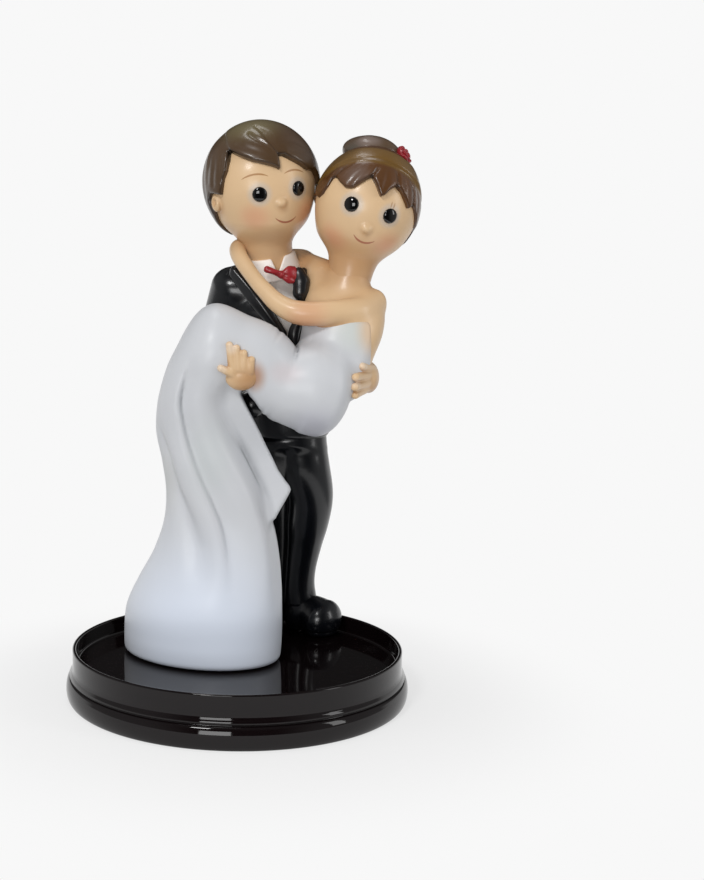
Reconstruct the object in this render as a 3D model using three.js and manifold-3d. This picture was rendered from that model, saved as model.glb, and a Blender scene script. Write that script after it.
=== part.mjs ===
// Wedding couple figurine: a groom carries the bride in his arms on a round tray-shaped plinth.
// Millimetres, +Z up. +X is the viewer's right, -Y is the front. The origin is the bottom centre of the
// whole part's box. Places below are measured from the plinth's axis, and those of the figure from the
// tray floor, which the feet and the dress stand on.

import * as THREE from 'three';
import { LoftGeometry } from 'three/addons/geometries/LoftGeometry.js';
import { mergeVertices } from 'three/addons/utils/BufferGeometryUtils.js';
import Module from 'manifold-3d';

const wasm = await Module();
wasm.setup();

const at = (x, y, z) => new THREE.Vector3(x, y, z);
const degrees = THREE.MathUtils.degToRad;

// Seams between neighbouring castings, and the glue line under the figure
const seam = 0.3;
const glueLine = 0.3;

// Plinth: a moulded tray with a turned rim, a cove and a rounded foot
const rimHeight = 14.1;
const rimRadius = 46.4;
const rimWall = 1.1;
const rimRounding = 0.4;
const trayFloor = 9.2;
const floorThickness = 1.6;
const coveTop = 9.0;
const coveFoot = 6.7;
const coveFlare = 0.9;
const grooveHeight = 0.5;
const grooveDepth = 0.5;
const footBulge = 48.3;
const footTuck = 1.1;
const footWall = 1.8;
const innerFillet = 0.8;
const undersideChamfer = at( 1.4, 0, 2.4 );
const plinthSides = 40;

// Screws from below, each through a boss under the floor into the casting above it
const screwShank = 1.3;
const screwHead = 2.5;
const screwHeadHeight = 1.4;
const screwBite = 5.5;
const bossRadius = 4.2;
const bossHeight = 3.6;
const dressScrewAt = at(-10, 2, 0);
const shoeScrewAt = at(19.6, 33.6, 0);

// Groom's head, an egg that narrows into the neck
const groomHeadAt = at(5.8, 11.5, 133.6);
const groomHeadHalf = at(15.2, 14, 15);
const groomHeadRoll = -7.5;
const groomHeadTurn = 20;
const groomNeckTop = at(7.2, 13.5, 117.5);
const groomNeckBase = at(8.8, 15.5, 108.6);
const groomNeckRadius = 6.3;
const groomHairLift = 1.5;
const groomHairTop = 3.4;
const groomEarRadius = 2.3;

// Bride's head
const brideHeadAt = at(34.5, 5.5, 127.6);
const brideHeadHalf = at(14.6, 13.7, 14.4);
const brideHeadRoll = 17;
const brideHeadTurn = 5;
const brideNeckTop = at(31, 5.5, 112.8);
const brideNeckBase = at(29.6, 5, 104.5);
const brideNeckRadius = 5.7;
const brideHairLift = 1.7;
const brideHairTop = 2.4;
const brideEarRadius = 2.1;
const bunAt = at(36.6, 13.5, 142.8);
const bunHalf = at(8.4, 7.4, 5.1);
const bunTilt = 8;
const bandRadius = 1.6;
const bandForward = 2.4;
const bandHalfAngle = 40;
const roseAt = at(45.6, 10, 142.4);
const roseRadius = 2.2;

// Features set into or on a face, by their direction from the head's centre
const eyeRadius = 2.0;
const eyeDepth = 0.8;
const noseRadius = 1.3;
const jawLevel = 0.8;
const jawWidth = 0.68;
const jawDepth = 0.66;
const groomEyes = { right: [-25.5, -13.3], left: [22.6, -10.9] };
const brideEyes = { right: [-26.4, -6.8], left: [20.3, -6.2] };
const groomNose = [-0.6, -25.5];
const brideNose = [-0.9, -28.5];
const groomEars = { right: [-82, -14], left: [80, -12] };
const brideEars = { right: [-84, -16], left: [78, -14] };

// Hairlines across the brow, in each head's own plane, from the right temple to the left one
const groomHairline = [
	[-15.6, -1.6], [-14.3, -1.6], [-14.1, 2.8], [-12.7, 6.5], [-11.5, 9.8], [-7.8, 7.3],
	[-4.5, 5.7], [-1.4, 4.3], [0.4, 2.7], [0.1, 6.5], [2.4, 6.2], [5.2, 4.9], [8.3, 3.1], [12.9, 2.1]
];
const brideHairline = [
	[-15.3, -2.5], [-13.7, 0.4], [-12.7, 4.8], [-9.6, 1.7], [-7.3, 3.1],
	[-3.7, 6.8], [0.5, 2.5], [4.1, 7], [9.7, 1.8], [10.9, 2.7], [14.6, -2.7]
];
// Where the hair ends at the back, as height against depth in the head's own frame
const groomNape = [[-4.6, -1.8], [-0.5, -5.7], [3.6, -10.8], [9.2, -14.4]];
const brideNape = [[-4.6, -3.5], [0.5, -7.7], [4.6, -10.8], [9.2, -12.3]];

// Groom's trunk: shirt core inside an open jacket
const groomWaist = at(14.4, 19, 78.3);
const groomChest = at(9.9, 17.5, 96.8);
const groomShoulderLine = at(8.6, 17, 104);
const groomWaistHalf = at(11.5, 8.8, 0);
const groomChestHalf = at(15, 9.8, 0);
const groomShoulderHalf = at(13.5, 8.4, 0);
const jacketThickness = 1.6;
const jacketHem = at(16.2, 21.5, 66);
const jacketHemHalf = at(12.7, 10.1, 0);
const openingLine = [
	[-0.8, 112.3], [0.2, 120.4], [17.5, 120.4], [17.5, 109.6], [15, 89.6], [13.6, 83.4], [10.6, 91.3]
];
const collarRise = 4.2;
const collarThickness = 1.5;
const lapelWidth = 2.3;
const lapelThickness = 1.0;
const lapelForward = 2.2;
const rightLapelTop = at( - 2.7, 10.5, 110.8 );
const rightLapelFoot = at( 8.8, 6.9, 90.6 );
const leftLapelTop = at( 19.1, 9.9, 108.7 );
const leftLapelFoot = at( 16.6, 6.9, 89.6 );
const collarNotchHalf = 3.6;
const collarFlare = 1.2;
const bowKnot = at(10.7, 4.9, 108.7);
const bowKnotHalf = at( 1.3, 1.5, 1.4 );
const bowWingLift = 1.2;
const bowWing = at(3.2, 1.0, 2.3);
const bowSpread = 3.6;

// Groom's arms, from the shoulder to the wrist
const sleeveRadius = 5.3;
const cuffRadius = 4.0;
const rightSleeve = [
	at(-1.6, 17.5, 102.4), at(-6.6, 21.5, 94.8), at(-8.8, 24, 85),
	at(-5.7, 18.5, 76.3), at(0.8, 6.5, 72.6), at(3.5, -4.5, 73.1)
];
const leftSleeve = [
	at(22.2, 19, 101.9), at(28.3, 23.5, 94.2), at(31, 21.5, 86.5), at(33.3, 15.5, 82.6), at(35.1, 10.7, 81.4)
];

// Hands: a palm, four fingers and a thumb, each finger from its knuckle to its tip
const fingerRadius = 1.35;
const groomRightPalm = at(1.9, -16.1, 80.7);
const groomRightPalmHalf = at(4.3, 2.8, 4.2);
const groomRightFingers = [
	[at(-1.2, -17.3, 82.6), at(-2.3, -18.5, 89.2)],
	[at(0.8, -17.5, 83), at(0, -18.7, 89.8)],
	[at(2.9, -17.5, 82.6), at(2.3, -18.5, 88.4)],
	[at(4.5, -17.1, 82), at(4.3, -18.1, 86.7)],
	[at(-1, -17.1, 80.7), at(-4.5, -18.1, 84)]
];
const groomLeftPalm = at(37, 4.5, 80.6);
const groomLeftPalmHalf = at(2.7, 5.3, 4.5);
const groomLeftFingers = [
	[at(37.2, 0.9, 83.4), at(34.5, -2.5, 82.8)],
	[at(37, 0.7, 81.2), at(32.5, -4.1, 80.1)],
	[at(36.2, 0.9, 78.7), at(32.3, -3.7, 77.5)],
	[at(35.1, 1.5, 76.7), at(32.5, -2.5, 75.6)]
];

// Groom's legs
const pelvis = at(15.4, 21.5, 65);
const pelvisHalf = at(11.9, 9.2, 0);
const pelvisTop = at(15, 20.5, 72.7);
const thighRadius = 8.4;
const kneeRadius = 6.6;
const ankleRadius = 4.9;
const trouserHem = 8.6;
const leftLeg = [
	at(17.6, 21.4, 61), at(19.3, 21.4, 53), at(21.2, 23.7, 44.1), at(20.0, 29.2, 28.5), at(19.0, 32, 15)
];
const rightLeg = [
	at(10, 21.9, 61), at(9.6, 22.4, 53), at(10, 25.2, 44.1), at(10.5, 30.7, 28.5), at(10.3, 33, 15)
];
const shoeHeelRadius = 4.8;
const shoeToeRadius = 6.6;
const leftShoe = [at(19.2, 33.6, 4.4), at(22.6, 30.6, 4.9), at(25.8, 27.4, 4.8)];
const rightShoe = [at(9.4, 36.4, 4.4), at(8.2, 34.0, 4.9), at(6.6, 31.4, 4.8)];

// Bride's trunk, leaning back against his left arm
const brideShoulderAcross = at(14.8, -6, -7.0);
const brideShoulderLine = at(29.2, 3.1, 103);
const brideShoulderHalf = at(8.8, 5.7, 0);
const brideBust = at(28.2, 0.5, 94.7);
const brideBustHalf = at(10.7, 8.4, 0);
const brideWaist = at(26.1, -1.5, 87.5);
const brideWaistHalf = at(10.1, 8.6, 0);
const bodiceTop = at(28.6, 1.3, 98.4);
const bodiceCore = at(23.2, -3.5, 81.4);
const armRadius = 3.1;
// A place on the arm where it lies round the groom's neck: direction from the neck's axis, slack and height
const neckAxis = at( 7.9, 14.3, 0 );
const roundNeck = ( bearing, slack, height ) => {

	const out = at( groomNeckRadius + armRadius + slack, 0, height );
	return out.applyAxisAngle( at( 0, 0, 1 ), degrees( bearing ) ).add( neckAxis );

};

const brideFrontArm = [
	at(36.8, 1.5, 101.5), at(32.1, -3.7, 99.2), at(24.3, -6.7, 98.5), at(15, -7.1, 98.5), at(8.2, -4, 102.5),
	at(3.1, 1, 108.6), roundNeck( - 138.8, 2.0, 114.1 ), roundNeck( - 174.6, - 1.4, 116.5 ),
	roundNeck( 121.5, - 2.7, 115.9 )
];
const brideBackArm = [
	at(22.2, 6.3, 107.5), roundNeck( - 6, 2.9, 110.8 ), roundNeck( 32.2, 2.2, 113.4 ),
	roundNeck( 58.9, 1.8, 113.8 )
];
const handHalf = at(3.5, 2.1, 2.9);
const brideLeftPalm = at(7.6, 24.1, 114.7);
const brideRightPalm = at(11.3, 25.1, 109.7);
const claspedFingers = { reach: 4.6, spread: 1.5, radius: 0.95, knuckle: 1.6, droop: 0.8 };

// Bride's skirt: the lap across his arms, and the hanging skirt as outlines from the hem to the knees.
// Each outline is [height, centre depth, left edge, right edge, half depth].
const skirtOutlines = [
	[0.0, 7.4, -31.8, 10.6, 18.4], [1.8, 7.5, -33.3, 12.4, 20.0], [6.0, 6.6, -33.0, 12.6, 19.4],
	[14.5, 3.6, -32.0, 12.6, 17.2], [23.2, 2.2, -28.7, 12.5, 15.3], [31.9, 0.5, -24.6, 11.6, 13.7],
	[40.6, -1.0, -21.6, 9.9, 12.6], [49.2, -2.3, -20.8, 6.7, 12.1], [57.8, -3.3, -21.8, 3.0, 12.1],
	[66.1, -3.7, -22.9, -1.0, 12.3], [74.5, -5.3, -22.3, -3.5, 12.3], [82.8, -6.5, -20.1, -1.0, 11.9],
	[89.2, -7.1, -17.5, 1.0, 11.1], [94.7, -7.3, -14.4, 0.4, 9.1], [98.4, -7.5, -11.2, -2.1, 6.0],
	[100.1, -7.5, -8.8, -4.5, 2.7]
];
// The hem swings back at the right-hand side: slope of its outline at the floor, and how high this reaches
const hemTwist = -0.22;
const hemTwistReach = 60;
// Each fold is a valley: angle at its middle height, drift per mm, middle height, reach, depth, half angle
const skirtFolds = [
	[-4, 1.0, 53, 30, 1.3, 11], [-42, 2.2, 46, 15, 1.2, 12], [64, 0.6, 40, 22, 0.9, 13],
	[118, 0.4, 34, 26, 1.3, 14], [172, -0.3, 40, 30, 1.5, 14], [-128, 0.3, 36, 28, 1.3, 14]
];
const lapStations = [
	[at(22.2, -4.7, 77.3), 12.7], [at(18.1, -5.7, 78.9), 13.1], [at(10.8, -6.7, 80.5), 10.6],
	[at(4.3, -7.3, 85.3), 10.7], [at(-2.1, -7.3, 87.5), 10.9], [at(-6.2, -7.3, 87.9), 11.1]
];
// The corner of the overlapping front edge, which flies out beside the knees: place and half width
const flyingCorner = [
	[at(-2, -6.5, 76.2), 2.1], [at(-0.4, -5.5, 69), 3.3], [at(3.4, -4.7, 60.3), 4.1],
	[at(9.8, -4.6, 51.7), 4.0], [at(9.8, -4.3, 46), 2.5]
];
const flyingCornerThickness = 2.2;

// Finish of each material
const finish = {
	plinth: { color: 0x1b1413, roughness: 0.12, metalness: 0.0 },
	steel: { color: 0x9a9c9e, roughness: 0.35, metalness: 1.0 },
	skin: { color: 0xe0b68c, roughness: 0.38, metalness: 0.0 },
	groomHair: { color: 0x4a3423, roughness: 0.25, metalness: 0.0 },
	brideHair: { color: 0x5a3d28, roughness: 0.27, metalness: 0.0 },
	eye: { color: 0x14110f, roughness: 0.08, metalness: 0.0 },
	red: { color: 0xa82030, roughness: 0.35, metalness: 0.0 },
	shirt: { color: 0xe6e2dc, roughness: 0.4, metalness: 0.0 },
	suit: { color: 0x0e1114, roughness: 0.18, metalness: 0.0 },
	satin: { color: 0x30373d, roughness: 0.2, metalness: 0.0 },
	dress: { color: 0xd2d3da, roughness: 0.3, metalness: 0.0 }
};

// Closed surfaces to solids and back

function solid( geometry ) {

	const bare = new THREE.BufferGeometry();
	bare.setAttribute( 'position', geometry.attributes.position );
	bare.setIndex( geometry.index );
	const merged = mergeVertices( bare, 1e-4 );
	return new wasm.Manifold( new wasm.Mesh( {
		numProp: 3,
		vertProperties: new Float32Array( merged.attributes.position.array ),
		triVerts: new Uint32Array( merged.index.array )
	} ) );

}

function surface( body ) {

	const mesh = body.getMesh();
	const geometry = new THREE.BufferGeometry();
	geometry.setAttribute( 'position', new THREE.BufferAttribute( new Float32Array( mesh.vertProperties ), 3 ) );
	geometry.setIndex( new THREE.BufferAttribute( new Uint32Array( mesh.triVerts ), 1 ) );
	geometry.computeVertexNormals();
	return geometry;

}

const join = ( ...bodies ) => bodies.reduce( ( whole, next ) => whole.add( next ) );

function mainBody( body ) {

	const bodies = body.decompose();
	return bodies.reduce( ( best, next ) => ( next.volume() > best.volume() ? next : best ) );

}

// Basic sculpting forms. Each takes `grow`, the clearance that a neighbour keeps to it.

function ball( centre, half, grow = 0, turn = null, segments = 18 ) {

	const geometry = new THREE.SphereGeometry( 1, segments, Math.round( segments * 0.65 ) );
	geometry.scale( half.x + grow, half.z + grow, half.y + grow );
	geometry.rotateX( Math.PI / 2 );
	if ( turn ) geometry.applyMatrix4( turn );
	geometry.translate( centre.x, centre.y, centre.z );
	return solid( geometry );

}

function ovalRing( centre, along, across, wide, deep, sides ) {

	const side = across.clone().addScaledVector( along, - across.dot( along ) ).normalize();
	const front = along.clone().cross( side );
	return Array.from( { length: sides }, ( _, i ) => {

		const angle = ( i / sides ) * Math.PI * 2;
		return centre.clone()
			.addScaledVector( side, wide * Math.cos( angle ) )
			.addScaledVector( front, deep * Math.sin( angle ) );

	} );

}

// A limb runs smoothly through its stations, each [place, half width, half depth], with domed or flat ends
function limb( stations, grow = 0, form = {} ) {

	const { across = at( 1, 0, 0 ), sides = 12, steps = 2, dome = 0.8, flat = [] } = form;
	const path = new THREE.CatmullRomCurve3( stations.map( ( [ place ] ) => place ) );
	const sizes = stations.map( ( [ , wide, deep = wide ] ) => at( wide, deep, 0 ) );
	const spread = new THREE.CatmullRomCurve3( sizes );
	const count = ( stations.length - 1 ) * steps;
	const rings = [];
	const ringAt = ( t, slide, share ) => {

		const along = path.getTangent( t );
		const size = spread.getPoint( t );
		const centre = path.getPoint( t ).addScaledVector( along, slide );
		const half = size.clone().addScalar( grow ).multiplyScalar( share );
		rings.push( ovalRing( centre, along, across, half.x, half.y, sides ) );

	};
	const domeAngles = [ 65, 32 ].map( degrees );
	const reach = ( t ) => Math.min( spread.getPoint( t ).x, spread.getPoint( t ).y ) * dome + grow;
	if ( flat.includes( 'start' ) ) ringAt( 0, - grow, 1 );
	else domeAngles.forEach( ( angle ) => ringAt( 0, - reach( 0 ) * Math.sin( angle ), Math.cos( angle ) ) );
	const first = flat.includes( 'start' ) && grow === 0 ? 1 : 0;
	for ( let i = first; i <= count; i ++ ) {

		if ( i === count && flat.includes( 'end' ) && grow === 0 ) break;
		ringAt( i / count, 0, 1 );

	}

	if ( flat.includes( 'end' ) ) ringAt( 1, grow, 1 );
	else {

		domeAngles.reverse();
		domeAngles.forEach( ( angle ) => ringAt( 1, reach( 1 ) * Math.sin( angle ), Math.cos( angle ) ) );

	}

	return solid( new LoftGeometry( rings, { capStart: true, capEnd: true } ) );

}

// A limb of even taper, given only its path
function tapered( path, startRadius, endRadius, grow, options ) {

	const last = path.length - 1;
	const radiusAt = ( i ) => THREE.MathUtils.lerp( startRadius, endRadius, i / last );
	const stations = path.map( ( place, i ) => [ place, radiusAt( i ) ] );
	return limb( stations, grow, options );

}

// A prism from an outline in X and Z, reaching from one depth to another
function frontPrism( outline, nearDepth, farDepth ) {

	const shape = new THREE.Shape( outline.map( ( [ x, z ] ) => new THREE.Vector2( x, z ) ) );
	const geometry = new THREE.ExtrudeGeometry( shape, { depth: farDepth - nearDepth, bevelEnabled: false } );
	geometry.rotateX( Math.PI / 2 );
	geometry.translate( 0, farDepth, 0 );
	return solid( geometry );

}

// A prism from an outline in Y and Z, reaching across the head
function sidePrism( outline, halfWidth ) {

	const shape = new THREE.Shape( outline.map( ( [ y, z ] ) => new THREE.Vector2( y, z ) ) );
	const geometry = new THREE.ExtrudeGeometry( shape, { depth: 2 * halfWidth, bevelEnabled: false } );
	geometry.applyMatrix4( new THREE.Matrix4().makeBasis( at( 0, 1, 0 ), at( 0, 0, 1 ), at( 1, 0, 0 ) ) );
	geometry.translate( - halfWidth, 0, 0 );
	return solid( geometry );

}

// Heads: a frame of their own, with -Y to the face

function headFrame( centre, roll, turn ) {

	return new THREE.Matrix4().makeTranslation( centre )
		.multiply( new THREE.Matrix4().makeRotationY( degrees( roll ) ) )
		.multiply( new THREE.Matrix4().makeRotationZ( degrees( turn ) ) );

}

function facePoint( half, [ bearing, height ] ) {

	const a = degrees( bearing );
	const e = degrees( height );
	const ray = at( Math.sin( a ) * Math.cos( e ), - Math.cos( a ) * Math.cos( e ), Math.sin( e ) );
	return ray.multiplyScalar( 1 / Math.hypot( ray.x / half.x, ray.y / half.y, ray.z / half.z ) );

}

const groomFrame = headFrame( groomHeadAt, groomHeadRoll, groomHeadTurn );
const brideFrame = headFrame( brideHeadAt, brideHeadRoll, brideHeadTurn );
const turnOf = ( frame ) => new THREE.Matrix4().extractRotation( frame );
const inFrame = ( point, frame ) => point.clone().applyMatrix4( frame );

function eye( frame, half, direction, grow ) {

	const spot = facePoint( half, direction );
	const facing = spot.clone().divide( half ).divide( half ).normalize();
	const geometry = new THREE.SphereGeometry( 1, 10, 5 );
	geometry.scale( eyeRadius + grow, eyeDepth + grow, eyeRadius + grow );
	geometry.applyQuaternion( new THREE.Quaternion().setFromUnitVectors( at( 0, 1, 0 ), facing ) );
	geometry.translate( spot.x, spot.y, spot.z );
	geometry.applyMatrix4( frame );
	return solid( geometry );

}

function head( frame, half, neckTop, neckBase, neckRadius, nose, ears, earRadius, grow ) {

	const slice = ( height ) => {

		const share = Math.sqrt( 1 - height * height );
		return [ inFrame( at( 0, 0, height * half.z ), frame ), half.x * share, half.y * share ];

	};
	const across = at( 1, 0, 0 ).transformDirection( frame );
	const skull = limb( [
		[ neckBase, neckRadius * 1.06 ],
		[ neckTop, neckRadius ],
		[ inFrame( at( 0, 0.2, - half.z * jawLevel ), frame ), half.x * jawWidth, half.y * jawDepth ],
		...[ - 0.45, - 0.1, 0.3, 0.66, 0.9 ].map( slice )
	], grow, { sides: 16, steps: 1, across, dome: 0.2 } );
	const noseHalf = at( noseRadius, noseRadius, noseRadius );
	const noseBall = ball( inFrame( facePoint( half, nose ), frame ), noseHalf, grow, null, 8 );
	const earBalls = Object.values( ears ).map( ( direction ) => ball(
		inFrame( facePoint( half, direction ), frame ),
		at( earRadius * 0.6, earRadius * 0.8, earRadius ), grow, turnOf( frame ), 8
	) );
	return join( skull, noseBall, ...earBalls );

}

function hairCap( frame, half, lift, topLift, hairline, nape, extras, grow ) {

	const size = at( half.x + lift, half.y + lift * 1.3, half.z + ( lift + topLift ) / 2 );
	const raise = ( topLift - lift ) / 2;
	const cap = ball( inFrame( at( 0, lift * 0.3, raise ), frame ), size, grow, turnOf( frame ), 16 );
	const whole = join( cap, ...extras( grow ) );
	if ( grow > 0 ) return whole;
	const reach = half.x * 2;
	const window = frontPrism( [ [ - reach, hairline[ 0 ][ 1 ] ], ...hairline,
		[ reach, hairline.at( - 1 )[ 1 ] ], [ reach, - reach ], [ - reach, - reach ] ], - reach, nape[ 0 ][ 0 ] );
	const [ napeFront, napeTop ] = nape[ 0 ];
	const under = sidePrism( [ ...nape, [ reach, nape.at( - 1 )[ 1 ] ], [ reach, - reach ],
		[ napeFront - 1, - reach ], [ napeFront - 1, napeTop ] ], reach );
	const cut = ( tool ) => {

		const geometry = surface( tool );
		geometry.applyMatrix4( frame );
		return solid( geometry );

	};
	return whole.subtract( cut( window ) ).subtract( cut( under ) );

}

// Bodies and limbs

function hand( palm, half, fingers, grow ) {

	return join(
		ball( palm, half, grow, null, 8 ),
		...fingers.map( ( [ knuckle, tip ] ) => limb(
			[ [ palm, fingerRadius ], [ knuckle, fingerRadius * 1.1 ], [ tip, fingerRadius * 0.85 ] ],
			grow, { sides: 5, steps: 1, across: at( 0.3, 0.2, 1 ) } ) )
	);

}

function claspedHand( palm, side, grow ) {

	const { reach, spread, radius, knuckle: knuckleOut, droop } = claspedFingers;
	const fingers = [ - 1, 0, 1 ].map( ( i ) => {

		const knuckle = palm.clone().add( at( side * knuckleOut, 0.4, i * spread ) );
		const tip = knuckle.clone().add( at( side * reach, - 0.4, i * spread * 0.3 - droop ) );
		return limb( [ [ palm, radius ], [ knuckle, radius * 1.2 ], [ tip, radius ] ],
			grow, { sides: 5, steps: 1, across: at( 0, 0, 1 ) } );

	} );
	return join( ball( palm, handHalf, grow, null, 8 ), ...fingers );

}

function groomTrunk( thickness, top, grow ) {

	const oval = ( size ) => [ size.x - thickness, size.y - thickness ];
	return limb( [
		[ jacketHem, ...oval( jacketHemHalf ) ],
		[ groomWaist, ...oval( groomWaistHalf ) ],
		[ groomChest, ...oval( groomChestHalf ) ],
		[ groomShoulderLine, ...oval( groomShoulderHalf ) ],
		...top
	], grow, { sides: 14, steps: 1, across: at( 1, 0, 0.08 ), flat: [ 'start' ] } );

}

const neckRoot = groomNeckBase.clone().lerp( groomNeckTop, 0.2 );

function groomShirt( grow ) {

	const cap = [ [ neckRoot, groomNeckRadius + collarThickness - 0.4, groomNeckRadius ] ];
	return groomTrunk( jacketThickness + seam, cap, grow );

}

function groomJacket( grow ) {

	const cap = [ neckRoot, groomNeckRadius + collarThickness * 2, groomNeckRadius + collarThickness ];
	const outer = groomTrunk( 0, [ cap ], grow );
	if ( grow > 0 ) return outer;
	const lining = [ jacketHemHalf.x - jacketThickness, jacketHemHalf.y - jacketThickness ];
	const shirtReach = limb( [
		[ jacketHem.clone().add( at( 0.4, 0.6, - 4 ) ), ...lining ],
		[ jacketHem, ...lining ]
	], 0, { sides: 14, across: at( 1, 0, 0.08 ), flat: [ 'start', 'end' ] } );
	const opening = frontPrism( openingLine, - 30, groomChest.y );
	return outer.subtract( groomShirt( seam ) ).subtract( shirtReach ).subtract( opening );

}

function groomCollar( grow ) {

	const rise = groomNeckTop.clone().sub( groomNeckBase ).setLength( collarRise );
	const foot = groomNeckBase.clone().addScaledVector( rise, 0.15 );
	const band = limb( [
		[ foot, groomNeckRadius + collarThickness + collarFlare ],
		[ foot.clone().add( rise ), groomNeckRadius + collarThickness ]
	], grow, { sides: 12, steps: 1, flat: [ 'start', 'end' ] } );
	if ( grow > 0 ) return band;
	const notch = frontPrism( [
		[ foot.x - 0.2, foot.z - collarRise ], [ foot.x + collarNotchHalf, foot.z + collarRise * 2 ],
		[ foot.x - collarNotchHalf, foot.z + collarRise * 2 ]
	], - 20, foot.y );
	return band.subtract( notch );

}

function lapel( top, bottom, lean, grow ) {

	const middle = top.clone().lerp( bottom, 0.5 ).add( at( lean, - lapelForward, 0 ) );
	return limb( [
		[ top, lapelWidth * 0.8, lapelThickness ],
		[ middle, lapelWidth, lapelThickness ],
		[ bottom, lapelWidth * 0.5, lapelThickness ]
	], grow, { sides: 8, steps: 2, across: at( 1, 0.25 * Math.sign( lean ), 0.3 ) } );

}

function bowTie( grow ) {

	const wings = [ - 1, 1 ].map( ( side ) => {

		const tip = bowKnot.clone().add( at( side * bowSpread, side * 0.5, side < 0 ? bowWingLift : 0 ) );
		return limb( [ [ bowKnot, bowWing.y, bowWing.z * 0.45 ], [ tip, bowWing.y, bowWing.z ] ],
			grow, { sides: 8, steps: 2, across: at( 0, 1, 0 ), dome: 0.9 } );

	} );
	return join( ball( bowKnot, bowKnotHalf, grow, null, 8 ), ...wings );

}

function trousers( grow ) {

	const hips = limb( [
		[ pelvisTop, groomWaistHalf.x - jacketThickness - seam * 2, groomWaistHalf.y - jacketThickness - seam * 2 ],
		[ jacketHem, pelvisHalf.x - 0.8, pelvisHalf.y - 0.8 ],
		[ pelvis.clone().setZ( pelvis.z - 3 ), pelvisHalf.x, pelvisHalf.y ]
	], grow, { sides: 12, steps: 1, flat: [ 'start' ] } );
	const legs = [ leftLeg, rightLeg ].map( ( [ hip, thigh, knee, shin, ankle ] ) => limb( [
		[ hip, thighRadius ], [ thigh, thighRadius * 0.92 ], [ knee, kneeRadius ], [ shin, kneeRadius * 0.84 ],
		[ ankle, ankleRadius ], [ ankle.clone().setZ( trouserHem ).add( at( 0, 1.2, 0 ) ), ankleRadius * 1.06 ]
	], grow, { sides: 12, steps: 1, flat: [ 'end' ] } ) );
	return join( hips, ...legs );

}

function shoe( path, grow ) {

	const body = limb( [
		[ path[ 0 ], shoeHeelRadius, shoeHeelRadius * 0.85 ],
		[ path[ 1 ], shoeHeelRadius * 1.05, shoeHeelRadius ],
		[ path[ 2 ], shoeToeRadius, shoeToeRadius ]
	], grow, { sides: 12, steps: 1, across: at( 1, 1, 0 ), dome: 0.85 } );
	const opening = limb( [
		[ path[ 0 ].clone(), shoeHeelRadius * 0.85 ], [ path[ 0 ].clone().setZ( trouserHem ), ankleRadius * 0.9 ]
	], grow, { sides: 10, steps: 1 } );
	return aboveFloor( join( body, opening ), grow );

}

// What stands on the tray floor is cut level just above it
function aboveFloor( body, grow ) {

	const reach = 2 * footBulge;
	const slab = new THREE.BoxGeometry( reach, reach, reach );
	slab.translate( 0, 0, - reach / 2 + glueLine - grow );
	return body.subtract( solid( slab ) );

}

function brideTorso( grow ) {

	return limb( [
		[ brideWaist, brideWaistHalf.x * 0.9, brideWaistHalf.y * 0.9 ],
		[ brideBust, brideBustHalf.x * 0.93, brideBustHalf.y * 0.93 ],
		[ brideShoulderLine, brideShoulderHalf.x, brideShoulderHalf.y ],
		[ brideNeckBase.clone().lerp( brideNeckTop, 0.4 ), brideNeckRadius + 0.4 ]
	], grow, { sides: 14, steps: 1, across: brideShoulderAcross } );

}

function brideBodice( grow ) {

	return limb( [
		[ bodiceCore, brideWaistHalf.x, brideWaistHalf.y ],
		[ brideWaist, brideWaistHalf.x, brideWaistHalf.y ],
		[ brideBust, brideBustHalf.x, brideBustHalf.y ],
		[ bodiceTop, brideBustHalf.x * 0.97, brideBustHalf.y * 0.94 ]
	], grow, { sides: 16, steps: 1, across: brideShoulderAcross, flat: [ 'end' ] } );

}

function skirtRing( [ height, depth, left, right, halfDepth ], grow, sides ) {

	const wide = ( right - left ) / 2 + grow;
	const twist = hemTwist * Math.max( 0, 1 - height / hemTwistReach );
	return Array.from( { length: sides }, ( _, i ) => {

		const angle = ( i / sides ) * 360;
		const fold = skirtFolds.reduce( ( sum, [ middle, drift, level, reach, valley, spread ] ) => {

			const line = middle - drift * ( height - level );
			const off = ( ( ( angle - line + 180 ) % 360 ) + 360 ) % 360 - 180;
			return sum + valley * Math.exp( - ( ( off / spread ) ** 2 ) - ( ( height - level ) / reach ) ** 2 );

		}, 0 );
		const a = degrees( angle );
		const aside = Math.sin( a ) * ( wide - fold );
		return at(
			( left + right ) / 2 + aside,
			depth - Math.cos( a ) * ( halfDepth + grow - fold ) + twist * aside,
			height
		);

	} );

}

function skirt( grow ) {

	const rings = skirtOutlines.map( ( outline ) => skirtRing( outline, grow, 24 ) );
	rings.at( - 1 ).forEach( ( point ) => { point.z += grow; } );
	const hanging = solid( new LoftGeometry( rings, { capStart: true, capEnd: true } ) );
	const lap = limb( lapStations, grow, { sides: 12, steps: 1, across: at( 0, 0, 1 ) } );
	const corner = limb( flyingCorner.map( ( [ place, wide ] ) => [ place, wide, flyingCornerThickness ] ),
		grow, { sides: 6, steps: 1, across: at( 1, 0.3, 0 ) } );
	return aboveFloor( join( hanging, lap, corner ), grow );

}

function bun( grow ) {

	const tilt = new THREE.Matrix4().makeRotationY( degrees( bunTilt ) );
	return ball( bunAt, bunHalf, grow, tilt, 14 );

}

function hairBand( grow ) {

	const arc = [ - 1, - 0.5, 0, 0.5, 1 ].map( ( share ) => {

		const a = degrees( share * bandHalfAngle );
		const radius = brideHeadHalf.x + brideHairTop * 0.6;
		return inFrame( at( Math.sin( a ) * radius, - bandForward, Math.cos( a ) * radius ), brideFrame );

	} );
	return [ tapered( arc, bandRadius, bandRadius, grow, { sides: 6, steps: 1, across: at( 0, 1, 0 ) } ) ];

}

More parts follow.
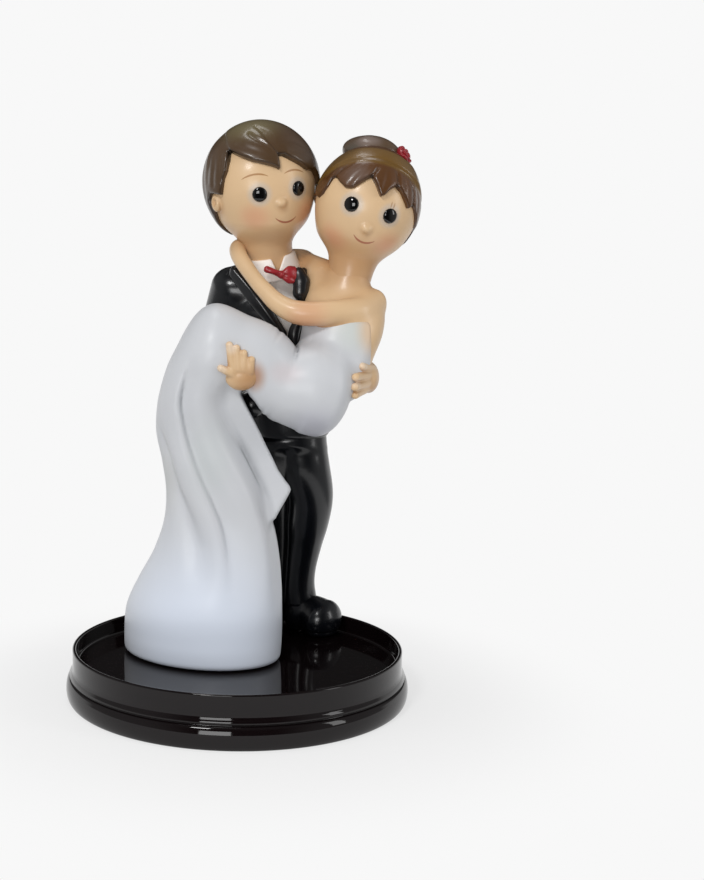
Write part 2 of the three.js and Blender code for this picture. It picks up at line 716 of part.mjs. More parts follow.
function rose( grow ) {

	const petals = Array.from( { length: 5 }, ( _, i ) => {

		const a = ( i / 5 ) * Math.PI * 2;
		const out = roseRadius * 0.7;
		const spot = roseAt.clone().add( at( 0.2, Math.cos( a ) * out, Math.sin( a ) * out ) );
		return ball( spot, at( 1, 1, 1 ).multiplyScalar( roseRadius * 0.6 ), grow, null, 6 );

	} );
	const heart = at( roseRadius * 0.95, roseRadius * 0.8, roseRadius * 0.8 );
	return join( ball( roseAt, heart, grow, null, 8 ), ...petals );

}

// Plinth and screws

function cylinder( centre, radius, bottom, top, segments ) {

	const geometry = new THREE.CylinderGeometry( radius, radius, top - bottom, segments );
	geometry.rotateX( Math.PI / 2 );
	geometry.translate( centre.x, centre.y, ( bottom + top ) / 2 );
	return solid( geometry );

}

const floorUnderside = trayFloor - floorThickness;
const bossFoot = floorUnderside - bossHeight;

function screw( centre, grow ) {

	const headTop = bossFoot + screwHeadHeight;
	return join(
		cylinder( centre, screwHead + grow, bossFoot - grow * 4, headTop + grow, 16 ),
		cylinder( centre, screwShank + grow, headTop - 0.2, trayFloor + screwBite + grow, 10 )
	);

}

const innerRim = rimRadius - rimWall;

// The room that the rim takes up, which the figure stays out of
function rimGuard() {

	const inside = innerRim - seam;
	const top = rimHeight + seam;
	const outline = [ [ inside, 0 ], [ footBulge, 0 ], [ footBulge, top ], [ inside, top ], [ inside, 0 ] ];
	const corners = outline.map( ( [ x, z ] ) => new THREE.Vector2( x, z ) );
	const lathe = new THREE.LatheGeometry( corners, plinthSides );
	lathe.rotateX( Math.PI / 2 );
	return solid( lathe );

}

function plinth() {

	const arc = ( x, z, rx, rz, from, to, count ) => Array.from( { length: count + 1 }, ( _, i ) => {

		const a = degrees( THREE.MathUtils.lerp( from, to, i / count ) );
		return new THREE.Vector2( x + rx * Math.cos( a ), z + rz * Math.sin( a ) );

	} );
	const grooveFoot = coveFoot - grooveHeight;
	const footTop = rimRadius + coveFlare;
	const underRadius = footBulge - footTuck - footWall;
	const profile = [
		new THREE.Vector2( 0, floorUnderside ),
		new THREE.Vector2( underRadius - undersideChamfer.x, floorUnderside ),
		new THREE.Vector2( underRadius, floorUnderside - undersideChamfer.z ),
		new THREE.Vector2( underRadius, 0 ),
		...arc( footBulge - footTuck, grooveFoot / 2, footTuck, grooveFoot / 2, - 90, 78, 3 ),
		new THREE.Vector2( footTop - grooveDepth, grooveFoot ),
		new THREE.Vector2( footTop - grooveDepth, coveFoot - grooveHeight * 0.4 ),
		new THREE.Vector2( footTop, coveFoot ),
		...arc( rimRadius + coveFlare, coveTop, coveFlare, coveTop - coveFoot, 225, 180, 2 ),
		...arc( rimRadius - rimRounding, rimHeight - rimRounding, rimRounding, rimRounding, 0, 90, 1 ),
		...arc( innerRim + rimRounding, rimHeight - rimRounding, rimRounding, rimRounding, 90, 180, 1 ),
		...arc( innerRim - innerFillet, trayFloor + innerFillet, innerFillet, innerFillet, 0, - 90, 2 ),
		new THREE.Vector2( 0, trayFloor )
	];
	const lathe = new THREE.LatheGeometry( profile, plinthSides );
	lathe.rotateX( Math.PI / 2 );
	const tray = solid( lathe );
	const bosses = [ dressScrewAt, shoeScrewAt ].map( ( centre ) => (
		cylinder( centre, bossRadius, bossFoot, floorUnderside + floorThickness / 2, 18 )
	) );
	return join( tray, ...bosses );

}

// Pieces in order of claim: each later piece is cut back to clear every earlier one
const groomHead = ( grow ) => head( groomFrame, groomHeadHalf, groomNeckTop, groomNeckBase,
	groomNeckRadius, groomNose, groomEars, groomEarRadius, grow );
const brideHead = ( grow ) => head( brideFrame, brideHeadHalf, brideNeckTop, brideNeckBase,
	brideNeckRadius, brideNose, brideEars, brideEarRadius, grow );
const brideArm = ( path, shoulder, wrist, grow ) => tapered( path, armRadius * shoulder, armRadius * wrist, grow,
	{ sides: 10, steps: 1, across: at( 0, 0, 1 ) } );
const sleeveForm = { sides: 12, steps: 1 };

const figure = [
	[ 'groom_eye_right', 'eye', ( g ) => eye( groomFrame, groomHeadHalf, groomEyes.right, g ) ],
	[ 'groom_eye_left', 'eye', ( g ) => eye( groomFrame, groomHeadHalf, groomEyes.left, g ) ],
	[ 'bride_eye_right', 'eye', ( g ) => eye( brideFrame, brideHeadHalf, brideEyes.right, g ) ],
	[ 'bride_eye_left', 'eye', ( g ) => eye( brideFrame, brideHeadHalf, brideEyes.left, g ) ],
	[ 'groom_head', 'skin', groomHead ],
	[ 'bride_head', 'skin', brideHead ],
	[ 'bride_hair_rose', 'red', rose ],
	[ 'bride_hair_bun', 'brideHair', bun ],
	[ 'bride_arm_left', 'skin', ( g ) => brideArm( brideFrontArm, 1.2, 0.68, g ) ],
	[ 'bride_arm_right', 'skin', ( g ) => brideArm( brideBackArm, 1.1, 0.9, g ) ],
	[ 'bride_hand_left', 'skin', ( g ) => claspedHand( brideLeftPalm, 1, g ) ],
	[ 'bride_hand_right', 'skin', ( g ) => claspedHand( brideRightPalm, - 1, g ) ],
	[ 'groom_hand_right', 'skin', ( g ) => hand( groomRightPalm, groomRightPalmHalf, groomRightFingers, g ) ],
	[ 'groom_hand_left', 'skin', ( g ) => hand( groomLeftPalm, groomLeftPalmHalf, groomLeftFingers, g ) ],
	[ 'groom_bow_tie', 'red', bowTie ],
	[ 'groom_collar', 'shirt', groomCollar ],
	[ 'bride_bodice', 'dress', brideBodice ],
	[ 'bride_torso', 'skin', brideTorso ],
	[ 'bride_skirt', 'dress', skirt ],
	[ 'groom_sleeve_right', 'suit', ( g ) => tapered( rightSleeve, sleeveRadius, cuffRadius, g, sleeveForm ) ],
	[ 'groom_sleeve_left', 'suit', ( g ) => tapered( leftSleeve, sleeveRadius, cuffRadius, g, sleeveForm ) ],
	[ 'groom_lapel_right', 'satin', ( g ) => lapel( rightLapelTop, rightLapelFoot, - 1, g ) ],
	[ 'groom_lapel_left', 'satin', ( g ) => lapel( leftLapelTop, leftLapelFoot, 1, g ) ],
	[ 'groom_shirt', 'shirt', groomShirt ],
	[ 'groom_shoe_left', 'suit', ( g ) => shoe( leftShoe, g ) ],
	[ 'groom_shoe_right', 'suit', ( g ) => shoe( rightShoe, g ) ],
	[ 'groom_trousers', 'suit', trousers ],
	[ 'groom_jacket', 'suit', groomJacket ],
	[ 'bride_hair', 'brideHair', ( g ) => hairCap(
		brideFrame, brideHeadHalf, brideHairLift, brideHairTop, brideHairline, brideNape, hairBand, g ) ],
	[ 'groom_hair', 'groomHair', ( g ) => hairCap(
		groomFrame, groomHeadHalf, groomHairLift, groomHairTop, groomHairline, groomNape, () => [], g ) ]
];

function boxesMeet( a, b ) {

	const first = a.boundingBox();
	const second = b.boundingBox();
	return [ 0, 1, 2 ].every( ( i ) => first.min[ i ] < second.max[ i ] && second.min[ i ] < first.max[ i ] );

}

function makeMesh( name, look, body ) {

	const mesh = new THREE.Mesh( surface( body ), new THREE.MeshStandardMaterial( finish[ look ] ) );
	mesh.name = name;
	return mesh;

}

const model = new THREE.Group();
const figurine = new THREE.Group();
const couple = new THREE.Group();
// The bride's hair overhangs the foot, so the box's centre lies beside the plinth's axis
const hairReach = brideHeadAt.x + brideHeadHalf.x + brideHairLift;
figurine.position.x = - ( hairReach - footBulge ) / 2;
couple.position.z = trayFloor;
figurine.add( couple );
model.add( figurine );

const lowered = ( body ) => body.translate( [ 0, 0, - trayFloor ] );
const screws = [ [ 'dress_screw', dressScrewAt ], [ 'shoe_screw', shoeScrewAt ] ];
const claimed = [ rimGuard(), ...screws.map( ( [ , centre ] ) => screw( centre, seam ) ) ].map( lowered );
const clearOf = ( body, other ) => ( boxesMeet( body, other ) ? body.subtract( other ) : body );
for ( const [ name, look, make ] of figure ) {

	const cut = claimed.reduce( clearOf, make( 0 ) );
	couple.add( makeMesh( name, look, mainBody( cut ) ) );
	claimed.push( make( seam ) );

}

let tray = plinth();
for ( const [ name, centre ] of screws ) {

	figurine.add( makeMesh( name, 'steel', screw( centre, 0 ) ) );
	tray = tray.subtract( screw( centre, seam ) );

}

figurine.add( makeMesh( 'plinth', 'plinth', tray ) );

export default model;
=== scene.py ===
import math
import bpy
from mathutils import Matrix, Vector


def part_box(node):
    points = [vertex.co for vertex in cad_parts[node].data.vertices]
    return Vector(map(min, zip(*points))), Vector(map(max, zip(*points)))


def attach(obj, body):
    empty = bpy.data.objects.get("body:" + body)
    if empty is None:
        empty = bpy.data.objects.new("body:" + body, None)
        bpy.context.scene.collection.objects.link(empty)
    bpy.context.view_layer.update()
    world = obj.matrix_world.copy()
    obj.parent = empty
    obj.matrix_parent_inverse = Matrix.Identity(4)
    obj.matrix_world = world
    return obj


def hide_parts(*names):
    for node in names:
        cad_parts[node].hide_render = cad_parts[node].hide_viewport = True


bl_info = {
    "name": "Wedding Couple Figurine",
    "version": (1, 0, 0),
    "blender": (4, 5, 0),
    "location": "3D View > Sidebar > Figurine",
    "description": "Sculpts and paints a resin wedding couple on a turned plinth",
    "category": "Add Mesh",
}

import bmesh
import bpy
import numpy as np
from mathutils import Euler, Matrix, Vector

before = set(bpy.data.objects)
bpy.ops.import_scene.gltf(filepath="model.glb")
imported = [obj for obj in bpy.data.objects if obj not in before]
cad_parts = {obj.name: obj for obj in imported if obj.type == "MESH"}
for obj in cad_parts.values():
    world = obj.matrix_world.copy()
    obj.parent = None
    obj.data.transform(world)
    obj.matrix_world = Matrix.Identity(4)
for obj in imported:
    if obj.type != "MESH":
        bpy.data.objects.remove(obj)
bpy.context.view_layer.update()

# Places are in millimetres from the plinth's axis and the tray floor, as on the casting drawings
MM = 0.001
PLINTH_LOW, PLINTH_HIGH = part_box("plinth")
AXIS_X = (PLINTH_LOW.x + PLINTH_HIGH.x) / 2 / MM
TRAY_FLOOR = 9.2

# Camera place and aim fitted to the ellipses of the plinth's rim, groove and foot
PHOTO_SIZE = (704, 880)
PHOTO_AXIS_PX = 239.25
FOCAL_PX = 1266.3
SENSOR = 36.0


def to_world(points):
    return (np.asarray(points, dtype=float) + (AXIS_X, 0.0, TRAY_FLOOR)) * MM


def world_vector(*place):
    return Vector(to_world(place))


# Distance fields, from which the castings are sculpted


# Least slopes, so that nothing is divided by zero
TINY, SMALL = 1e-6, 1e-4


def dots(first, second):
    """Dot product of each pair of rows."""
    return np.einsum("ij,ij->i", first, second)


def length(vectors):
    return np.sqrt(dots(vectors, vectors))


def true_distance(near, steep, least=TINY):
    """Distance to a form, from how many half widths out a place is and how fast that grows."""
    return near * (near - 1.0) / np.maximum(steep, least)


def from_run(points, start, run):
    """Share of a straight run that lies nearest each place, and the offset from there."""
    share = np.clip((points - start) @ run / (run @ run), 0.0, 1.0)
    return share, points - start - share[:, None] * run


def merge(soft, *fields):
    """Joins forms with a fillet about as wide as soft."""
    whole = fields[0]
    for other in fields[1:]:
        share = np.clip(0.5 + 0.5 * (other - whole) / soft, 0.0, 1.0)
        whole = other + (whole - other) * share - soft * share * (1.0 - share)
    return whole


def common(soft, *fields):
    """Keeps what lies in every form, with rounded edges."""
    return -merge(soft, *[-field for field in fields])


def carve(soft, body, tool):
    return common(soft, body, -tool)


def oval(points, centre, half, axes=None):
    """Distance to an ellipsoid, true near its surface."""
    offset = points - np.asarray(centre, dtype=np.float32)
    if axes is not None:
        offset = offset @ axes
    half = np.asarray(half, dtype=np.float32)
    return true_distance(length(offset / half), length(offset / half**2))


def capsule(points, start, end, start_radius, end_radius):
    start = np.asarray(start, dtype=np.float32)
    run = np.asarray(end, dtype=np.float32) - start
    share, offset = from_run(points, start, run)
    radius = start_radius + (end_radius - start_radius) * share * share * (3.0 - 2.0 * share)
    return length(offset) - radius


class Sweep:
    """A smooth run through stations, each a place and one or two half widths."""

    def __init__(self, stations, across=(1.0, 0.0, 0.0), dome=1.0, steps=4):
        rows = [(*place, sizes[0], sizes[-1]) for place, *sizes in stations]
        rows = np.array(rows, dtype=np.float32)
        self.rows = np.vstack([2 * rows[0] - rows[1], rows, 2 * rows[-1] - rows[-2]])
        self.last = len(rows) - 1
        self.across = np.array(across, dtype=np.float32)
        self.dome = dome
        self.marks = np.linspace(0.0, self.last, self.last * steps + 1).astype(np.float32)
        self.spine = self.at(self.marks)[0][:, :3]

    def at(self, along):
        """Place and sizes, and their rate of change, at each position along the run."""
        first = np.clip(np.floor(along).astype(int), 0, self.last - 1)
        t = (along - first)[:, None]
        a, b, c, d = (self.rows[first + k] for k in range(4))
        line, bend, twist = c - a, 2 * a - 5 * b + 4 * c - d, 3 * b - a - 3 * c + d
        value = 0.5 * (2 * b + t * (line + t * (bend + t * twist)))
        rate = 0.5 * (line + t * (2 * bend + 3 * t * twist))
        return value, rate

    def nearest(self, points):
        best = np.full(len(points), np.inf, dtype=np.float32)
        along = np.zeros(len(points), dtype=np.float32)
        for k in range(len(self.marks) - 1):
            share, offset = from_run(points, self.spine[k], self.spine[k + 1] - self.spine[k])
            far = dots(offset, offset)
            closer = far < best
            best = np.where(closer, far, best)
            along = np.where(closer, self.marks[k] + share * (self.marks[k + 1] - self.marks[k]), along)
        return along

    def local(self, points):
        """Offsets across, in front of and along the run, with the half widths there."""
        along = self.nearest(points)
        for _ in range(2):
            value, rate = self.at(along)
            step = dots(points - value[:, :3], rate[:, :3])
            steep = np.maximum(dots(rate[:, :3], rate[:, :3]), TINY)
            along = np.clip(along + step / steep, 0.0, self.last)
        value, rate = self.at(along)
        tangent = rate[:, :3] / np.maximum(length(rate[:, :3]), TINY)[:, None]
        side = self.across - tangent * (tangent @ self.across)[:, None]
        side /= np.maximum(length(side), TINY)[:, None]
        front = np.cross(tangent, side)
        offset = points - value[:, :3]
        placed = np.stack([dots(offset, axis) for axis in (side, front, tangent)], axis=1)
        return along, placed, value[:, 3:]

    def distance(self, points):
        _, placed, sizes = self.local(points)
        half = np.column_stack([sizes, sizes.min(axis=1) * self.dome])
        return true_distance(length(placed / half), length(placed / half**2))


class Stack:
    """Ovals stacked along a straight axis, each given as its place and two half widths."""

    STEPS = 24

    def __init__(self, rows, across=(1.0, 0.0, 0.0), up=(0.0, 0.0, 1.0)):
        up = Vector(up).normalized()
        side = Vector(across)
        side = (side - up * side.dot(up)).normalized()
        self.axes = np.array([side, up.cross(side), up], dtype=np.float32).T
        run = Sweep([(tuple(np.array(place) @ self.axes), *sizes) for place, *sizes in rows])
        marks = np.linspace(0.0, run.last, run.last * self.STEPS + 1).astype(np.float32)
        self.table = run.at(marks)[0]
        self.low, self.high = self.table[0, 2], self.table[-1, 2]

    def frame_at(self, points):
        """Offsets from the axis, the level, and the half widths there."""
        placed = points @ self.axes
        level = placed[:, 2]
        x, y, wide, deep = (np.interp(level, self.table[:, 2], self.table[:, k]) for k in (0, 1, 3, 4))
        return placed[:, 0] - x, placed[:, 1] - y, level, wide, deep

    def distance(self, points, soft):
        dx, dy, level, wide, deep = self.frame_at(points)
        side = true_distance(np.hypot(dx / wide, dy / deep), np.hypot(dx / wide**2, dy / deep**2), SMALL)
        return common(soft, side, self.low - level, level - self.high)


def outline_distance(flat, corners):
    """Signed distance in a plane to a closed outline, negative inside it."""
    far = np.full(len(flat), np.inf, dtype=np.float32)
    inside = np.zeros(len(flat), dtype=bool)
    corners = np.asarray(corners, dtype=np.float32)
    for start, end in zip(corners, np.roll(corners, -1, axis=0)):
        run = end - start
        _, offset = from_run(flat, start, run)
        far = np.minimum(far, dots(offset, offset))
        crosses = (start[1] <= flat[:, 1]) != (end[1] <= flat[:, 1])
        if run[1] != 0.0:
            left = flat[:, 0] < start[0] + (flat[:, 1] - start[1]) * run[0] / run[1]
            inside ^= crosses & left
    return np.where(inside, -1.0, 1.0) * np.sqrt(far)


def line_distance(flat, stops):
    """Distance in a plane to an open line, its side, and the share of the line reached."""
    far = np.full(len(flat), np.inf, dtype=np.float32)
    side = np.zeros(len(flat), dtype=np.float32)
    reached = np.zeros(len(flat), dtype=np.float32)
    stops = np.asarray(stops, dtype=np.float32)
    lengths = np.hypot(*np.diff(stops, axis=0).T)
    passed = np.concatenate([[0.0], np.cumsum(lengths)]) / lengths.sum()
    for k in range(len(stops) - 1):
        run = stops[k + 1] - stops[k]
        share, offset = from_run(flat, stops[k], run)
        gap = length(offset)
        turn = np.sign(run[0] * offset[:, 1] - run[1] * offset[:, 0])
        closer = gap < far
        far = np.where(closer, gap, far)
        side = np.where(closer, turn, side)
        reached = np.where(closer, passed[k] + share * (passed[k + 1] - passed[k]), reached)
    return far, side, reached


def pressed(flat, lines, start_fade, end_fade):
    """Depth of grooves, each given as stops, depth, and half widths left and right of its run."""
    depth = np.zeros(len(flat), dtype=np.float32)
    for stops, deep, left, right in lines:
        far, side, reached = line_distance(flat, stops)
        broad = np.where(side > 0.0, left, right)
        fade = ease(-0.02, start_fade, reached) * (1.0 - ease(1.0 - end_fade, 1.0, reached))
        depth += deep * fade * np.exp(-((far / broad) ** 2))
    return depth


def ease(low, high, value):
    share = np.clip((value - low) / (high - low), 0.0, 1.0)
    return share * share * (3.0 - 2.0 * share)


# Castings: the fields are turned into closed meshes of even quads

BLOCK = 8
BLOCK_MARGIN = 1.25
BATCH = 400
PROBE_SHARE = 0.25
LEAST_SLOPE_SQUARED = 0.1


def lattice(*counts):
    """Every whole-number place in a box."""
    return np.stack(np.meshgrid(*[np.arange(n) for n in counts], indexing="ij"), axis=-1).reshape(-1, 3)


def grid_values(field, low, cell, blocks):
    """Field values on a grid of blocks. Only the blocks near the surface are worked out in full."""
    shape = blocks * BLOCK
    corners = lattice(*blocks)
    middles = low + (corners * BLOCK + (BLOCK - 1) / 2) * cell
    coarse = field(middles.astype(np.float32))
    reach = BLOCK * cell * math.sqrt(3.0) / 2 * BLOCK_MARGIN
    values = np.where(coarse < 0.0, -1.0, 1.0).astype(np.float32)
    values = values.reshape(tuple(blocks)).repeat(BLOCK, 0).repeat(BLOCK, 1).repeat(BLOCK, 2)
    kept = corners[np.abs(coarse) < reach]
    inner = lattice(BLOCK, BLOCK, BLOCK)
    for part in np.array_split(kept, max(1, len(kept) // BATCH)):
        index = (part[:, None, :] * BLOCK + inner[None, :, :]).reshape(-1, 3)
        worked = field((low + index * cell).astype(np.float32))
        values[index[:, 0], index[:, 1], index[:, 2]] = worked
    return values, shape


def skin_of(field, low, high, cell):
    """Closed quad surface of a field, with each corner drawn onto the true surface."""
    low = np.asarray(low, dtype=float) - 2 * cell
    blocks = np.ceil((np.asarray(high, dtype=float) + 2 * cell - low) / (cell * BLOCK)).astype(int)
    values, shape = grid_values(field, low, cell, blocks)
    inside = values < 0.0
    places, cells, quads_sign = [], [], []
    strides = np.array([shape[1] * shape[2], shape[2], 1])
    for axis in range(3):
        second, third = (axis + 1) % 3, (axis + 2) % 3
        here = [slice(1, -1)] * 3
        there = [slice(1, -1)] * 3
        here[axis], there[axis] = slice(0, -1), slice(1, None)
        crossing = np.argwhere(inside[tuple(here)] != inside[tuple(there)])
        index = crossing + 1
        index[:, axis] -= 1
        beyond = index.copy()
        beyond[:, axis] += 1
        near = values[tuple(index.T)]
        far = values[tuple(beyond.T)]
        place = index.astype(float)
        place[:, axis] += near / (near - far)
        around = np.zeros((4, 3), dtype=int)
        around[1, second] = around[2, second] = -1
        around[2, third] = around[3, third] = -1
        places.append(place)
        cells.append((index[:, None, :] + around[None, :, :]) @ strides)
        quads_sign.append(near < 0.0)
    places, cells, outward = np.vstack(places), np.vstack(cells), np.concatenate(quads_sign)
    used, corner = np.unique(cells, return_inverse=True)
    corner = corner.reshape(-1, 4)
    count = np.bincount(corner.ravel(), minlength=len(used))
    vertices = np.empty((len(used), 3))
    for axis in range(3):
        total = np.bincount(corner.ravel(), weights=np.repeat(places[:, axis], 4), minlength=len(used))
        vertices[:, axis] = total / count
    quads = np.where(outward[:, None], corner, corner[:, ::-1])
    return drawn_in(field, low + vertices * cell, cell), quads


def drawn_in(field, vertices, cell):
    """Moves each corner along the field's slope onto the surface."""
    start = vertices.astype(np.float32)
    probe = PROBE_SHARE * cell
    here = field(start)
    slope = np.empty_like(start)
    for axis in range(3):
        moved = start.copy()
        moved[:, axis] += probe
        slope[:, axis] = (field(moved) - here) / probe
    steep = np.maximum(dots(slope, slope), LEAST_SLOPE_SQUARED)
    step = np.clip(here / steep, -cell, cell)
    return vertices - step[:, None] * slope


def mesh_from(name, vertices, faces):
    mesh = bpy.data.meshes.new(name)
    mesh.vertices.add(len(vertices))
    mesh.vertices.foreach_set("co", np.ascontiguousarray(vertices, dtype=np.float32).ravel())
    mesh.loops.add(faces.size)
    mesh.loops.foreach_set("vertex_index", np.ascontiguousarray(faces, dtype=np.int32).ravel())
    mesh.polygons.add(len(faces))
    mesh.polygons.foreach_set("loop_start", np.arange(0, faces.size, faces.shape[1], dtype=np.int32))
    mesh.update(calc_edges=True)
    mesh.shade_smooth()
    return mesh


def finish_piece(name, mesh, material, nodes):
    """Puts a piece in the scene on the couple's one rigid body, in place of its plain castings."""
    piece = bpy.data.objects.new(name, mesh)
    bpy.context.scene.collection.objects.link(piece)
    mesh.materials.clear()
    mesh.materials.append(material)
    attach(piece, "root")
    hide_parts(*nodes)


# How far out the hollows are felt for, and how much each reach counts, for the shade painted into them
HOLLOW_PROBES = ((1.0, 0.4), (3.2, 0.6))
HOLLOW_GAIN, HOLLOW_LEAST = 1.6, 0.08


def hollows(field, places, mesh):
    """How deep each corner of a mesh lies in a dip of the form, from 0 to 1; the paints darken it that much
    as painted shade.
    """
    normals = np.empty(len(places) * 3, dtype=np.float32)
    mesh.vertex_normals.foreach_get("vector", normals)
    normals = normals.reshape(-1, 3)
    shade = np.zeros(len(places))
    for reach, share in HOLLOW_PROBES:
        near = field((places + normals * reach).astype(np.float32)) / reach
        shade += share * np.clip(1.0 - near, 0.0, 1.0)
    return np.clip(shade * HOLLOW_GAIN - HOLLOW_LEAST, 0.0, 1.0)


def cast(name, field, low, high, cell, material, nodes):
    """Turns a field into a painted piece, drawn between the low and high corners of a box."""
    vertices, quads = skin_of(field, low, high, cell)
    mesh = mesh_from(name, to_world(vertices), quads)
    # The depth in the hollows is kept on the mesh, and the paints lay painted shade by it
    shade = mesh.attributes.new("hollow", "FLOAT", "POINT")
    shade.data.foreach_set("value", hollows(field, vertices, mesh).astype(np.float32))
    finish_piece(name, mesh, material, nodes)


# The couple's landmarks: heads


class Head:
    """A doll head in a frame of its own, with its face towards -Y."""

    def __init__(self, at, half, roll, turn, neck, neck_radius, lift, side_lift, top_lift):
        self.at = np.array(at, dtype=np.float32)
        self.half = np.array(half, dtype=np.float32)
        rolled = Matrix.Rotation(math.radians(roll), 3, "Y")
        self.turned = rolled @ Matrix.Rotation(math.radians(turn), 3, "Z")
        self.axes = np.array(self.turned, dtype=np.float32)
        self.neck = neck
        self.neck_radius = neck_radius
        self.lift = lift
        self.side_lift = side_lift
        self.top_lift = top_lift

    def local(self, points):
        return (points - self.at) @ self.axes

    def placed(self, *local):
        return self.at + self.axes @ np.array(local, dtype=np.float32)

    def face_point(self, bearing, height):
        a, e = math.radians(bearing), math.radians(height)
        ray = np.array([math.sin(a) * math.cos(e), -math.cos(a) * math.cos(e), math.sin(e)])
        return ray / math.sqrt(((ray / self.half) ** 2).sum())

GROOM = Head(
    at=(5.8, 11.5, 133.6), half=(15.2, 14.0, 15.0), roll=-7.5, turn=20.0,
    neck=((8.4, 15.0, 112.3), (7.2, 13.5, 117.5)), neck_radius=6.3, lift=1.5, side_lift=1.5, top_lift=3.25,
)
BRIDE = Head(
    at=(34.6, 5.5, 127.6), half=(14.2, 13.7, 14.4), roll=17.0, turn=5.0,
    neck=((29.6, 5.0, 104.5), (31.0, 5.5, 112.8)), neck_radius=5.7, lift=1.7, side_lift=0.7, top_lift=2.4,
)

# Directions on a face, as bearing and height in degrees
GROOM_FACE = {
    "eyes": ((-25.5, -13.3), (22.6, -10.9)),
    "nose": (-0.6, -25.5),
    "ears": ((-82.0, -14.0), (82.0, -7.0)),
    "cheeks": ((-36.1, -37.7), (41.9, -37.3)),
}
BRIDE_FACE = {
    "eyes": ((-26.4, -6.8), (20.3, -6.2)),
    "nose": (-0.9, -28.5),
    "ears": (),
    "cheeks": ((-46.8, -47.9), (36.9, -37.0)),
}
GROOM_BARE = [
    (-180, -52), (-130, -50), (-105, -38), (-93, -24), (-92, -8), (-84, -3), (-76, -5), (-68.2, -7),
    (-65.3, 0.6), (-62.9, 8.2), (-58.9, 15.8), (-57.4, 27.6), (-58.8, 37.2), (-52.5, 34.4), (-41.1, 28.3),
    (-29.9, 22.9), (-19.5, 19.5), (-9.3, 15.8), (-4.3, 13.6), (-0.2, 10.6), (0.4, 15.8), (0.9, 27),
    (8.1, 26.3), (15.9, 21.1), (23.5, 17), (31.7, 12.3), (37.4, 8.8), (49.9, 8), (58, 2), (64, -6),
    (72, -7), (82, -2), (92, -8), (94, -24), (108, -38), (130, -50), (180, -52), (180, -91), (-180, -91),
]
BRIDE_BARE = [
    (-180, -46), (-156, -40), (-134, -26), (-116, -13), (-100, -8), (-88, -5), (-76, -8), (-67.8, -3),
    (-63.3, 5.9), (-61.2, 15.2), (-59, 17.1), (-54.8, 16.2), (-45.9, 11.8), (-38.8, 8.5), (-34.5, 8.8),
    (-29.4, 10.6), (-24.5, 16.4), (-19.1, 23.9), (-14.3, 28.1), (-7.9, 21.7), (1.8, 9.8), (6, 13.1),
    (9.7, 19.2), (17.6, 26.7), (25.5, 22), (33.4, 13.7), (39.3, 7.8), (43, 10.6), (45.6, 13.1),
    (52.4, 9.9), (65.5, -2.1), (74, -8), (82, -6), (88, -10), (92, -24), (106, -34), (130, -44),
    (180, -46), (180, -91), (-180, -91),
]
# Combed grooves in the hair as directions from start to end, with depth and half widths on either side
GROOM_GROOVES = [
    ([(0.9, 24), (-0.2, 29.1), (-3.1, 34.3), (-5.9, 38.8), (-11.9, 48.9), (-20.6, 58.6)], 0.6, 0.35, 2.2),
    ([(-57, 34), (-72, 50), (-95, 60), (-120, 62)], 0.5, 2.6, 0.8),
    ([(-35.0, 54.1), (-22.2, 44.9), (-12.4, 38.3), (-7.4, 33.7), (-2.6, 22.7)], 0.42, 0.6, 0.9),
    ([(-24, 64), (-12, 55), (-4, 47)], 0.22, 0.8, 0.8),
    ([(-50, 44), (-36, 36), (-22, 30), (-8, 24)], 0.14, 0.9, 0.9),
    ([(12, 28), (30, 25), (46, 16)], 0.16, 0.8, 0.8), ([(4, 40), (28, 38), (52, 26)], 0.16, 1.0, 1.0),
    ([(-66, 4), (-64, 22), (-68, 38)], 0.3, 0.5, 0.9), ([(-76, 0), (-74, 20), (-80, 42)], 0.2, 0.8, 0.8),
    ([(-86, 4), (-84, 24), (-90, 46)], 0.2, 0.9, 0.9),
    ([(-98, -10), (-96, 10), (-104, 44)], 0.25, 1.0, 1.0),
    ([(-112, -30), (-112, 0), (-120, 40)], 0.3, 1.1, 1.1),
    ([(-128, -40), (-127, -2), (-136, 38)], 0.3, 1.1, 1.1),
    ([(-146, -44), (-145, -5), (-153, 35)], 0.3, 1.2, 1.2),
    ([(-165, -46), (-163, -5), (-168, 35)], 0.3, 1.2, 1.2),
    ([(175, -46), (175, -5), (177, 35)], 0.3, 1.2, 1.2),
    ([(158, -46), (156, -5), (160, 35)], 0.3, 1.2, 1.2),
    ([(140, -44), (138, -5), (146, 35)], 0.3, 1.2, 1.2),
    ([(123, -36), (122, 0), (130, 38)], 0.3, 1.1, 1.1),
    ([(108, -28), (108, 4), (116, 40)], 0.3, 1.1, 1.1), ([(88, 0), (86, 24), (90, 46)], 0.25, 0.9, 0.9),
]
